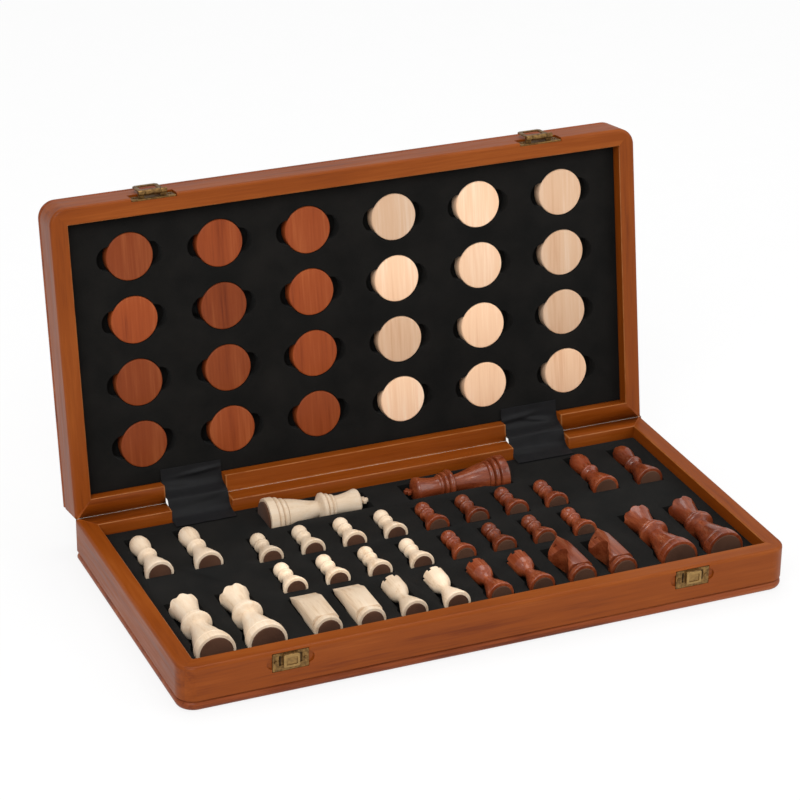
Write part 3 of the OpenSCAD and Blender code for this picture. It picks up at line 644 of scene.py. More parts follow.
class Case:
    """The wooden case and its metal. Only the back rails' solids are replaced."""

    # Rail colours; the pale tan one is a highlight painted along the rim's inner edges, the notch
    # edges and the seam.
    rail = {"dark": (108, 46, 6), "mid": (132, 62, 10), "light": (146, 74, 20),
            "worn": (180, 122, 72), "pores": 0.00005}
    panel = {"dark": (96, 40, 14), "mid": (136, 66, 30), "light": (160, 90, 50)}

    def dress(self, node: str, material: bpy.types.Material, slot: str) -> None:
        """Give a solid that stays its finish."""
        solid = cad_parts[node]
        solid.data.materials.clear()
        solid.data.materials.append(material)
        log.info("%s: dressed as %s", node, slot)

    def build(self) -> None:
        """Dress rails, panels, squares and metal, and set the back rails."""
        self.lengths: dict[Half, bpy.types.Material] = {}
        brass = BrassFinish().material()
        for half in Half:
            part = half.value
            long = WoodFinish(f"{part}_rail_long", grain=Grain.ALONG_X, half=half, **self.rail)
            side = WoodFinish(f"{part}_rail_side", grain=Grain.ALONG_Y, half=half, **self.rail)
            panel = WoodFinish(f"{part}_panel", grain=Grain.ALONG_X, half=half, **self.panel)
            pale = WoodFinish(f"{part}_light_square", (196, 150, 96), (219, 178, 124),
                              (232, 198, 150), Grain.ALONG_Y, half, streak=260, coat=0.3)
            deep = WoodFinish(f"{part}_dark_square", (58, 26, 12), (92, 44, 22), (116, 62, 34),
                              Grain.ALONG_Y, half, streak=260, coat=0.3)
            lengths, sides = long.material(), side.material()
            self.lengths[half] = lengths
            for name, material in (("front_rail", lengths), ("left_rail", sides),
                                   ("right_rail", sides)):
                self.dress(f"{part}_{name}", material, "lacquered_wood")
            self.dress(f"{part}_board_panel", panel.material(), "moulding_wood")
            self.dress(f"{part}_light_squares", pale.material(), "light_veneer")
            self.dress(f"{part}_dark_squares", deep.material(), "dark_veneer")
        for node in ("left_hinge_base_leaf", "left_hinge_lid_leaf", "right_hinge_base_leaf",
                     "right_hinge_lid_leaf", "hinge_pins", "hinge_base_screws",
                     "hinge_lid_screws", "catch_nails", "hasp_plate_nails", "hasp_pins"):
            self.dress(node, brass, "aged_brass")
        self.brass = brass
        Seam().build(self.lengths)


@dataclass(frozen=True)
class Seam:
    """The back rails, with the rounded outer arris drawn square up to the hinge axis."""

    round_r: float = 2.0
    near: float = 0.02

    def model(self, half: Half) -> bpy.types.Object:
        """Merge a copy of a back rail's solid and draw its rounding up to the axis.

        Args:
            half: The half that the rail belongs to.

        Returns:
            The rail, in metres.
        """
        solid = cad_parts[f"{half.value}_back_rail"]
        # This rail takes the long rails' finish, with its highlight painted along the seam and the
        # notch edges.
        rail = bpy.data.objects.new(f"{half.value}_back_rail_worn", solid.data.copy())
        bpy.context.scene.collection.objects.link(rail)
        Bench.edit(rail)
        bpy.ops.mesh.select_all(action="SELECT")
        bpy.ops.mesh.remove_doubles(threshold=2e-6)
        bpy.ops.mesh.normals_make_consistent(inside=False)
        Bench.clear()
        there = TO_METRES @ BOX.place(half)
        down = there.inverted()
        for vertex in rail.data.vertices:
            spot = down @ vertex.co
            out, up = BOX.back_y - spot.y, BOX.half_h - spot.z
            if max(out, up) < self.round_r - self.near:
                spot.y, spot.z = BOX.axis.y - self.near, BOX.axis.z - self.near
            vertex.co = there @ spot
        Bench.edit(rail)
        bpy.ops.mesh.select_all(action="SELECT")
        bpy.ops.mesh.remove_doubles(threshold=2e-6)
        return Bench.smooth(rail, 30)

    def build(self, finishes: dict[Half, bpy.types.Material]) -> None:
        """Make both rails."""
        for half, material in finishes.items():
            fitted = Fitted(half.value, "lacquered_wood", (f"{half.value}_back_rail",))
            fitted.settle(self.model(half), material)


@dataclass
class FoamTrays:
    """The two flocked foam trays, with the soft edge that a cutting die leaves on foam."""

    edge: float = 0.7
    finish: FlockFinish = FlockFinish("flocked_foam", (12, 12, 11), (26, 24, 22), sheen=0.05)

    def model(self, half: Half) -> bpy.types.Object:
        """Merge a copy of a tray's solid and round its pockets' upper edges.

        Args:
            half: The half that the tray lies in.

        Returns:
            The tray, in metres.
        """
        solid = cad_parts[f"{half.value}_foam_tray"]
        tray = bpy.data.objects.new(f"{half.value}_tray", solid.data.copy())
        bpy.context.scene.collection.objects.link(tray)
        Bench.edit(tray)
        bpy.ops.mesh.select_all(action="SELECT")
        bpy.ops.mesh.remove_doubles(threshold=2e-6)
        bpy.ops.mesh.dissolve_limited(angle_limit=math.radians(1))
        bpy.ops.mesh.normals_make_consistent(inside=False)
        down = (TO_METRES @ BOX.place(half)).inverted()
        level = BOX.foam_z - 0.02

        def upper(edge: bmesh.types.BMEdge) -> bool:
            """Say whether an edge is a corner in the plane of the foam's face."""
            high = all((down @ v.co).z > level for v in edge.verts)
            return high and len(edge.link_faces) == 2 and edge.calc_face_angle(0) > 0.7

        Bench.bevel(tray, self.edge * MM, 3, upper)
        return Bench.smooth(tray, 35)

    def build(self) -> None:
        """Make both trays."""
        material = self.finish.material()
        for half in Half:
            tray = self.model(half)
            Fitted(half.value, "flocked_foam", (f"{half.value}_foam_tray",)).settle(tray, material)


@dataclass(frozen=True)
class Fold:
    """A soft ridge in a cloth: its place across and along, its lie, and its size."""

    across: float
    along: float
    slope: float
    reach: float
    width: float
    height: float

    def lift(self, across: float, along: float) -> float:
        """Height of the ridge at a point of the cloth."""
        turn = math.radians(self.slope)
        dx, dy = across - self.across, along - self.along
        with_it = dx * math.cos(turn) + dy * math.sin(turn)
        off = dy * math.cos(turn) - dx * math.sin(turn)
        return self.height * math.exp(-(with_it / self.reach) ** 2 - (off / self.width) ** 2)


@dataclass
class HingeCovers:
    """The strap of dark cloth that runs through each pair of notches, over the hinge."""

    width: float = 39.4
    thickness: float = 0.45
    across: int = 26
    along: int = 64
    finish: ClothFinish = ClothFinish()
    run: tuple[Point, ...] = ((19.4, -7.6), (14.0, -7.55), (9.2, -7.1), (6.0, -5.2), (4.4, -2.4),
                              (3.3, 0.3), (2.3, 2.3))
    left_folds: tuple[Fold, ...] = (Fold(6, 40.5, 4, 12, 1.3, 1.3), Fold(-8, 34, -8, 10, 2, 0.7),
                                    Fold(-4, 14, 6, 13, 2.4, 0.6), Fold(10, 22, 10, 8, 2, 0.5))
    right_folds: tuple[Fold, ...] = (Fold(-9, 38, 6, 12, 1.8, 1.2), Fold(5, 34.5, -12, 8, 1.3, 1.2),
                                     Fold(6, 24, 5, 11, 2, 0.6), Fold(-6, 12, -5, 12, 2.2, 0.6))

    def line(self) -> list[Vector]:
        """Points of the strap's middle line, from the base's foam over the hinge to the lid's."""
        axis = BOX.axis
        half = [Vector((0, axis.y - u, axis.z + w)) for u, w in self.run]
        lid = BOX.into_lid()
        return half + [lid @ p for p in reversed(half)]

    def stations(self) -> list[Vector]:
        """The middle line as evenly spaced points on one smooth curve."""
        knots = self.line()
        knots = [2 * knots[0] - knots[1], *knots, 2 * knots[-1] - knots[-2]]
        fine: list[Vector] = []
        for a, b, c, d in zip(knots, knots[1:], knots[2:], knots[3:]):
            for step in range(24):
                t = step / 24
                fine.append(0.5 * ((2 * b) + (c - a) * t + (2 * a - 5 * b + 4 * c - d) * t ** 2
                                   + (3 * b - a - 3 * c + d) * t ** 3))
        fine.append(knots[-2])
        sums = [0.0]
        for a, b in zip(fine, fine[1:]):
            sums.append(sums[-1] + (b - a).length)
        self.length = sums[-1]
        found, at = [], 0
        for k in range(self.along + 1):
            want = self.length * k / self.along
            while at < len(sums) - 2 and sums[at + 1] < want:
                at += 1
            share = (want - sums[at]) / max(sums[at + 1] - sums[at], 1e-9)
            found.append(fine[at].lerp(fine[at + 1], min(share, 1)))
        return found

    def model(self, name: str, middle: float, folds: tuple[Fold, ...]) -> bpy.types.Object:
        """Lay one strap.

        Args:
            name: Name of the piece.
            middle: Middle of its hinge along X.
            folds: The ridges in it.

        Returns:
            The strap, in metres.
        """
        spots = self.stations()
        Bench.clear()
        bpy.ops.mesh.primitive_grid_add(x_subdivisions=self.across, y_subdivisions=self.along,
                                        size=1, location=(0, 0, 0), calc_uvs=True)
        strap = Bench.name(bpy.context.object, name)
        for vertex in strap.data.vertices:
            x = vertex.co.x * self.width
            row = round((vertex.co.y + 0.5) * self.along)
            row = max(0, min(self.along, row))
            ahead, back = spots[min(row + 1, self.along)], spots[max(row - 1, 0)]
            way = (ahead - back).normalized()
            out = Vector((0, -way.z, way.y))
            gone = self.length * row / self.along
            lift = sum(fold.lift(x, gone) for fold in folds)
            lift += 0.25 * noise.noise(Vector((x * 0.16, gone * 0.13, middle)))
            lift += 0.5 * max(0.0, abs(x) / self.width * 2 - 0.8)
            spot = spots[row] + out * (max(lift, 0) + self.thickness / 2)
            vertex.co = Vector((middle + x, spot.y, spot.z)) * MM
        Bench.modify(strap, "SOLIDIFY", thickness=self.thickness * MM, offset=0)
        return Bench.smooth(strap, 60)

    def build(self) -> None:
        """Make both straps."""
        material = self.finish.material()
        solids = ("hinge_base_covers", "hinge_lid_covers")
        for side, folds, sign in (("left", self.left_folds, -1), ("right", self.right_folds, 1)):
            strap = self.model(f"{side}_hinge_cover", sign * BOX.hinge_x, folds)
            Fitted("", "cover_cloth", solids).settle(strap, material)
            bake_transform(strap)


class Profile:
    """Outline of a turned man, from the middle of its underside to the middle of its top."""

    def __init__(self, felt: float) -> None:
        """Start in the middle of the underside."""
        self.points: list[Point] = [(0, felt)]
        self.felt = felt

    def line(self, *points: Point) -> "Profile":
        """Go straight through some points."""
        self.points += points
        return self

    def foot(self, radius: float, height: float) -> "Profile":
        """Turn the foot, with a rounded lower edge and a softer upper one."""
        z = self.felt
        lower = self.arc(radius - 0.6, z + 0.6, 0.6, 0.6, -90, 0, 4)
        upper = self.arc(radius - 0.9, z + height - 0.9, 0.9, 0.9, 0, 90, 5)
        return self.line(*lower, *upper)

    def fall(self, r0: float, z0: float, r1: float, z1: float, steps: int = 14) -> "Profile":
        """Turn the falling curve of a shaft from a wide place up to its waist."""
        for i in range(steps + 1):
            share = 0.75 - i / steps / 2 + 0.25 * math.cos(math.pi * i / steps)
            self.points.append((r1 + (r0 - r1) * share, z0 + (z1 - z0) * i / steps))
        return self

    def ring(self, radius: float, z: float, height: float, steps: int = 6) -> "Profile":
        """Turn a rounded ring."""
        deep = 0.42 * height
        return self.line(*self.arc(radius - deep, z + height / 2, deep, height / 2, -90, 90, steps))

    def ball(self, radius: float, middle: float, start: float, steps: int = 10) -> "Profile":
        """Turn a ball that closes the top, from an angle below its middle."""
        return self.line(*self.arc(0, middle, radius, radius, start, 90, steps))

    @staticmethod
    def arc(r: float, z: float, wide: float, high: float, start: float, end: float,
            steps: int) -> list[Point]:
        """Points on an arc about a middle, by angles in degrees."""
        turns = [math.radians(start + (end - start) * i / steps) for i in range(steps + 1)]
        return [(max(0.0, r + wide * math.cos(a)), z + high * math.sin(a)) for a in turns]

    def flow(self, *points: Point, per: int = 4) -> "Profile":
        """Go on through some points on one soft curve."""
        knots = [self.points[-1], *points]
        knots = [knots[0], *knots, knots[-1]]
        for a, b, c, d in zip(knots, knots[1:], knots[2:], knots[3:]):
            for step in range(1, per + 1):
                t = step / per
                spot = [0.5 * (2 * q + (r - p) * t + (2 * p - 5 * q + 4 * r - s) * t * t
                               + (3 * q - p - 3 * r + s) * t ** 3)
                        for p, q, r, s in zip(a, b, c, d)]
                self.points.append((max(0.0, spot[0]), spot[1]))
        return self


@dataclass
class Man:
    """A chess man, upright with its foot at the origin, in millimetres."""

    kind: str
    plural: str
    length: float
    radius: float
    drawn: float
    felt: float = 1.2
    steps: int = 48

    @property
    def k(self) -> float:
        """Its length against the drawn one."""
        return self.length / self.drawn

    def profile(self) -> Profile:
        """Outline of the turned part."""
        raise NotImplementedError

    def model(self) -> bpy.types.Object:
        """Turn the man."""
        piece = Bench.lathe(self.kind, self.profile().points, self.steps)
        return Bench.smooth(piece)


@dataclass
class Pawn(Man):
    """A pawn with a round head on a collar."""

    def profile(self) -> Profile:
        """Outline of the pawn."""
        k = self.k
        line = Profile(self.felt).foot(self.radius, 2.4 * k)
        line.fall(self.radius - 0.5, self.felt + 2.5 * k, 3.1, 16.6 * k)
        line.ring(4.9, 17.8 * k, 2.4 * k).flow((3.7, 21 * k))
        return line.ball(5, self.length - 5, -46)


@dataclass
class Rook(Man):
    """A rook with a hollow tower and six gaps in its wall."""

    def profile(self) -> Profile:
        """Outline of the rook."""
        k = self.k
        line = Profile(self.felt).foot(self.radius, 2.6 * k)
        line.fall(self.radius - 0.5, self.felt + 2.7 * k, 3.3, 20 * k)
        line.flow((4.2, 22.6 * k), (5.7, 25 * k), (6.3, 27 * k), (6.65, 28.4 * k))
        top = self.length
        return line.line((6.7, 29.2 * k), (6.7, top - 0.4), (6.3, top), (4.6, top),
                         (4.4, top - 0.3), (4.3, top - 3.3), (0, top - 3.4))

    def model(self) -> bpy.types.Object:
        """Turn the rook and saw the gaps."""
        piece = Bench.lathe(self.kind, self.profile().points, self.steps)
        top = self.length
        for i in range(3):
            saw = Bench.block("saw", Vector((-9, -1, top - 2.4)), Vector((9, 1, top + 1)))
            saw.data.transform(Matrix.Rotation(math.radians(60 * i), 4, "Z"))
            Bench.cut(piece, saw)
        return Bench.smooth(piece)


@dataclass
class Bishop(Man):
    """A bishop with a mitre, its slit and a small ball."""

    def profile(self) -> Profile:
        """Outline of the bishop."""
        k = self.k
        line = Profile(self.felt).foot(self.radius, 3 * k)
        line.fall(self.radius - 0.5, self.felt + 3.1 * k, 3.9, 22.4 * k)
        line.ring(6.2, 23.6 * k, 2.8 * k)
        line.flow((4.9, 27.2 * k), (4.9, 29.8 * k), (5.6, 33.4 * k), (6.4, 37.4 * k),
                  (6.2, 40.6 * k), (5.2, 43.8 * k), (3.4, 46 * k), (2, 46.8 * k))
        return line.ball(2.3, self.length - 2.3, -20, 8)

    def model(self) -> bpy.types.Object:
        """Turn the bishop and saw its slit."""
        piece = Bench.lathe(self.kind, self.profile().points, self.steps)
        saw = Bench.block("saw", Vector((0, -10, 0)), Vector((10, 10, 1.2)))
        tilt = Matrix.Rotation(math.radians(-35), 4, "Y")
        saw.data.transform(Matrix.Translation((1.6, 0, 41 * self.k)) @ tilt)
        Bench.cut(piece, saw)
        return Bench.smooth(piece)


@dataclass
class Queen(Man):
    """A queen with a scalloped crown and a ball."""

    steps: int = 64

    def profile(self) -> Profile:
        """Outline of the queen."""
        k = self.k
        line = Profile(self.felt).foot(self.radius, 5.2 * k)
        line.ring(self.radius - 0.7, self.felt + 5.6 * k, 3.4 * k)
        line.fall(self.radius - 1.9, self.felt + 9.2 * k, 5.5, 32 * k)
        line.ring(9.6, 33.4 * k, 3.8 * k).ring(8.3, 37.7 * k, 2.6 * k)
        line.flow((6.9, 42 * k), (6.6, 45.5 * k), (7, 49 * k), (7.8, 53 * k), (8.8, 57 * k),
                  (9.2, 58.6 * k))
        line.line((9, 59.1 * k), (8.3, 59.1 * k))
        return line.flow((7, 58.2 * k), (5.4, 59.8 * k), (2.8, 60.7 * k), (2, 60.8 * k)).ball(
            2.6, self.length - 2.6, -40, 8)

    def model(self) -> bpy.types.Object:
        """Turn the queen and hollow the scallops of its crown."""
        piece = Bench.lathe(self.kind, self.profile().points, self.steps)
        Bench.clear()
        k = self.k
        for vertex in piece.data.vertices:
            r, z = math.hypot(vertex.co.x, vertex.co.y), vertex.co.z
            if r > 6.8 and 54.6 * k < z < 59.6 * k:
                turn = math.atan2(vertex.co.y, vertex.co.x)
                dip = 0.5 - 0.5 * math.cos(8 * turn)
                share = min(1.0, (z - 54.6 * k) / (3.4 * k))
                vertex.co.z -= 1.8 * k * dip ** 1.5 * share
        return Bench.smooth(piece)


@dataclass
class King(Man):
    """A king with a domed crown and a cross."""

    def profile(self) -> Profile:
        """Outline of the king."""
        k, r = self.k, self.radius
        line = Profile(self.felt).foot(r, 5.6 * k).ring(r - 0.7, self.felt + 6 * k, 3.2 * k)
        line.ring(r - 1.9, self.felt + 9.6 * k, 3.4 * k)
        line.fall(r - 2.7, self.felt + 13.3 * k, 5.4, 35.6 * k).ring(9.8, 37.6 * k, 3.4 * k)
        line.ring(8.6, 41.5 * k, 2.4 * k).line((6.6, 44.4 * k)).ring(7.6, 44.9 * k, 1.9 * k)
        return line.flow((6.3, 48 * k), (6.4, 52 * k), (7.2, 56.5 * k), (8.2, 60.4 * k),
                         (8.3, 62 * k), (7.2, 63.4 * k), (4.4, 64.5 * k), (2.2, 64.9 * k),
                         (0, 65 * k))

    def model(self) -> bpy.types.Object:
        """Turn the king and set its cross."""
        piece = Bench.lathe(self.kind, self.profile().points, self.steps)
        top, k = self.length, self.k
        post = Bench.block("post", Vector((-1.2, -1.2, 64 * k)), Vector((1.2, 1.2, top)))
        arms = Bench.block("arms", Vector((-3, -1.2, top - 4 * k)), Vector((3, 1.2, top - 1.6 * k)))
        for bar in (post, arms):
            Bench.modify(bar, "BEVEL", width=0.4, segments=2)
        Bench.cut(piece, post, arms, join=True)
        return Bench.smooth(piece)


@dataclass
class Knight(Man):
    """A knight with a carved horse's head on a turned foot."""

    thick: float = 16.5
    blank: float = 9.6
    cheek_from: Point = (0.5, 8.3)
    cheek_turn: float = 37.0
    cheek_low: float = 24.4
    outline: tuple[Point, ...] = (
        (-7.9, 6.4), (-8.1, 12), (-7.7, 19), (-7, 25.5), (-5.8, 31.5), (-4, 36.4), (-2.6, 39.6),
        (-1.6, 43), (-0.4, 40.2), (1.4, 39), (4.2, 37.6), (6.6, 35.8), (8.2, 34), (8.8, 32.4),
        (8.7, 31), (7.6, 29.9), (5.2, 29.4), (2.8, 28.6), (1.1, 26.8), (0.4, 24.2), (1.2, 21.4),
        (2.9, 18.8), (4.2, 16), (5.2, 12.4), (6.8, 9.4), (7.9, 6.4))

    def profile(self) -> Profile:
        """Outline of the foot."""
        k = self.k
        line = Profile(self.felt).foot(self.radius, 3.4 * k)
        line.ring(self.radius - 0.9, self.felt + 3.7 * k, 1.6 * k)
        return line.line((self.radius - 1.8, 7 * k), (0, 7.1 * k))

    def model(self) -> bpy.types.Object:
        """Turn the foot and carve the head out of the round blank."""
        k = self.k
        piece = Bench.lathe(self.kind, self.profile().points, self.steps)
        corners = [Vector((x, -self.thick / 2, z * k)) for x, z in self.outline]
        head = Bench.plate("head", corners, Vector((0, self.thick, 0)))
        Bench.clear()
        blank = Bench.rod("blank", self.blank, Vector((0, 0, 0)), Vector((0, 0, 50)), 64)
        Bench.modify(head, "BOOLEAN", object=blank, solver="EXACT", operation="INTERSECT")
        bpy.data.objects.remove(blank)
        for side in (-1, 1):
            wedge = Bench.block("wedge", Vector((0, min(0, side * 9), self.cheek_low * k)),
                                Vector((16, max(0, side * 9), 50)))
            spot = (self.cheek_from[0], side * self.cheek_from[1], 0)
            turn = Matrix.Rotation(math.radians(-self.cheek_turn * side), 4, "Z")
            wedge.data.transform(Matrix.Translation(spot) @ turn)
            Bench.cut(head, wedge)
        Bench.modify(head, "BEVEL", width=0.5, segments=2, limit_method="ANGLE",
                     angle_limit=math.radians(50))
        Bench.cut(piece, head, join=True)
        tools = [Bench.rod("crease", 0.35, Vector((-3.6, -9.4, 39.6 * k)),
                           Vector((-3.6, 9.4, 39.6 * k)), 12)]
        for side in (-1, 1):
            tools.append(Bench.rod("eye", 0.9, Vector((3.2, side * 5, 34.6 * k)),
                                   Vector((3.2, side * 9, 34.6 * k)), 16))
        Bench.cut(piece, *tools)
        return Bench.smooth(piece, 34)


@dataclass
class ChessSet:
    """The men of both colours, each lying in its pocket with its foot to the front."""

    seed: int = 11
    columns: tuple[float, ...] = (14.0, 41.3, 68.6, 95.9)
    outer: tuple[float, ...] = (133.5, 165.0)
    front_feet: float = -74.5
    pawn_feet: tuple[float, ...] = (-22.3, 18.0)
    bishop_feet: float = 25.0
    king_foot: Point = (82.5, 69.7)
    felt_inset: float = 2.0
    cream: dict = field(default_factory=lambda: {
        "dark": (222, 190, 154), "mid": (243, 218, 188), "light": (249, 230, 206),
        "roughness": 0.42, "coat": 0.12, "pores": 0.00002})
    brown: dict = field(default_factory=lambda: {
        "dark": (88, 34, 14), "mid": (124, 54, 26), "light": (156, 80, 46), "specular": 0.3,
        "roughness": 0.32, "coat": 0.5, "coat_roughness": 0.1, "pores": 0.00002})

    def places(self, man: Man, sign: int) -> list[Point]:
        """Feet of the men of one kind and colour."""
        spots = {
            "pawn": [(c, y) for c in self.columns for y in self.pawn_feet],
            "rook": [(c, self.front_feet) for c in self.columns[:2]],
            "knight": [(c, self.front_feet) for c in self.columns[2:]],
            "queen": [(c, self.front_feet) for c in self.outer],
            "bishop": [(c, self.bishop_feet) for c in self.outer],
            "king": [self.king_foot],
        }[man.kind]
        return [(sign * x, y) for x, y in spots]

    @staticmethod
    def own_turn(man: Man, sign: int, rng: random.Random) -> float:
        """Turn of a man about its own axis in degrees; a knight lies on its face or its side."""
        if man.kind == "knight":
            return 90.0 if sign < 0 else 180.0
        if man.kind == "king":
            return 0.0
        return rng.uniform(0, 360)

    def felt_disc(self, man: Man) -> bpy.types.Object:
        """Punch the felt under a man's foot."""
        r, t = man.radius - self.felt_inset, man.felt
        disc = Bench.lathe("felt", [(0, 0), (r - 0.35, 0), (r - 0.1, 0.1), (r, 0.35), (r, t - 0.05),
                                    (r - 0.2, t), (0, t)], 40)
        return Bench.smooth(disc)

    def build(self) -> None:
        """Model each kind of man once and lay its copies."""
        rng = random.Random(self.seed)
        felt = FlockFinish("brown_felt", (66, 42, 30), (94, 64, 48), pile=2400, sheen=0.1)
        felt_material = felt.material()
        woods = {}
        for colour, values in (("cream", self.cream), ("brown", self.brown)):
            for grain in (Grain.ALONG_X, Grain.ALONG_Y):
                name = f"{colour}_wood_{grain.name[-1].lower()}"
                woods[colour, grain] = WoodFinish(name, grain=grain, toned=True, streak=240,
                                                  **values).material()
        men = [Pawn("pawn", "pawns", 31, 7.8, 31), Rook("rook", "rooks", 38, 8.4, 38),
               Knight("knight", "knights", 43, 8.9, 43), Bishop("bishop", "bishops", 50, 9, 50),
               Queen("queen", "queens", 65, 12.2, 65), King("king", "king", 70, 12.8, 70)]
        for man in men:
            model, disc = man.model(), self.felt_disc(man)
            for colour, sign in (("cream", -1), ("brown", 1)):
                self.lay(man, model, disc, colour, sign, rng, woods, felt_material)
            for template in (model, disc):
                bpy.data.objects.remove(template)

    def lay(self, man: Man, model: bpy.types.Object, disc: bpy.types.Object, colour: str,
            sign: int, rng: random.Random, woods: dict, felt: bpy.types.Material) -> None:
        """Lay the men of one kind and colour, and their felts.

        Args:
            man: The kind.
            model: Its model.
            disc: Its felt.
            colour: Name of the colour.
            sign: Side of the box, -1 on the left.
            rng: Source of the small differences.
            woods: Finishes by colour and grain.
            felt: Finish of the felts.
        """
        body = f"{colour}_{man.plural}_lifted"
        heading = sign * 90 if man.kind == "king" else 0
        grain = Grain.ALONG_X if man.kind == "king" else Grain.ALONG_Y
        slot = "cream_wood" if colour == "cream" else "red_brown_wood"
        discs = []
        for number, (x, y) in enumerate(self.places(man, sign), 1):
            lie = (Matrix.Translation((x, y, BOX.foam_z))
                   @ Matrix.Rotation(math.radians(heading), 4, "Z") @ UP_TO_BACK)
            spin = Matrix.Rotation(math.radians(self.own_turn(man, sign, rng)), 4, "Z")
            piece = Bench.copy(model, f"{colour}_{man.kind}_{number}", lie @ spin)
            tone = piece.data.attributes.new("tone", "FLOAT", "POINT")
            tone.data.foreach_set("value", [rng.random()] * len(piece.data.vertices))
            Fitted(body, slot, (f"{colour}_{man.plural}",)).settle(piece, woods[colour, grain])
            discs.append(Bench.copy(disc, f"felt_{number}", lie))
        suffix = "king_felt" if man.kind == "king" else f"{man.kind}_felts"
        felts = Bench.join(f"{colour}_{man.kind}_felt_set", discs)
        Fitted(body, "brown_felt", (f"{colour}_{suffix}",)).settle(felts, felt)


@dataclass
class Counters:
    """The counters of the second game, pressed into the lid's foam."""

    diameter: float = 30.0
    thickness: float = 8.0
    edge: float = 0.9
    pitch_x: float = 58.0
    pitch_y: float = 40.0
    seed: int = 5

    def model(self) -> bpy.types.Object:
        """Turn a counter with rounded edges."""
        r, t, e = self.diameter / 2, self.thickness, self.edge
        points = [(0, 0), *Profile.arc(r - e, e, e, e, -90, 0, 4),
                  *Profile.arc(r - e, t - e, e, e, 0, 90, 4), (0, t)]
        return Bench.smooth(Bench.lathe("counter", points, 56))

    def build(self) -> None:
        """Lay both sets of counters."""
        rng = random.Random(self.seed)
        sets = (("brown", -1, "counter_brown_wood",
                 {"dark": (112, 46, 18), "mid": (140, 64, 28), "light": (158, 82, 42)}),
                ("natural", 1, "counter_natural_wood",
                 {"dark": (222, 172, 134), "mid": (236, 194, 158), "light": (245, 212, 182)}))
        model = self.model()
        lid = BOX.into_lid()
        for colour, sign, slot, shades in sets:
            finish = WoodFinish(f"{colour}_counter", grain=Grain.ALONG_Y, half=Half.LID,
                                toned=True, streak=110, roughness=0.48, coat=0.05, **shades)
            material = finish.material()
            fitted = Fitted(f"{colour}_counters_lifted", slot, (f"{colour}_counters",))
            for i in range(3):
                for j in range(4):
                    x, y = sign * (i + 0.5) * self.pitch_x, (j - 1.5) * self.pitch_y
                    spot = Matrix.Translation((x, y, BOX.foam_z - self.thickness))
                    turn = Matrix.Rotation(rng.uniform(0, math.tau), 4, "Z")
                    piece = Bench.copy(model, f"{colour}_counter_{i * 4 + j + 1}", lid @ spot @ turn)
                    tone = piece.data.attributes.new("tone", "FLOAT", "POINT")
                    tone.data.foreach_set("value", [rng.random()] * len(piece.data.vertices))
                    fitted.settle(piece, material)
        bpy.data.objects.remove(model)


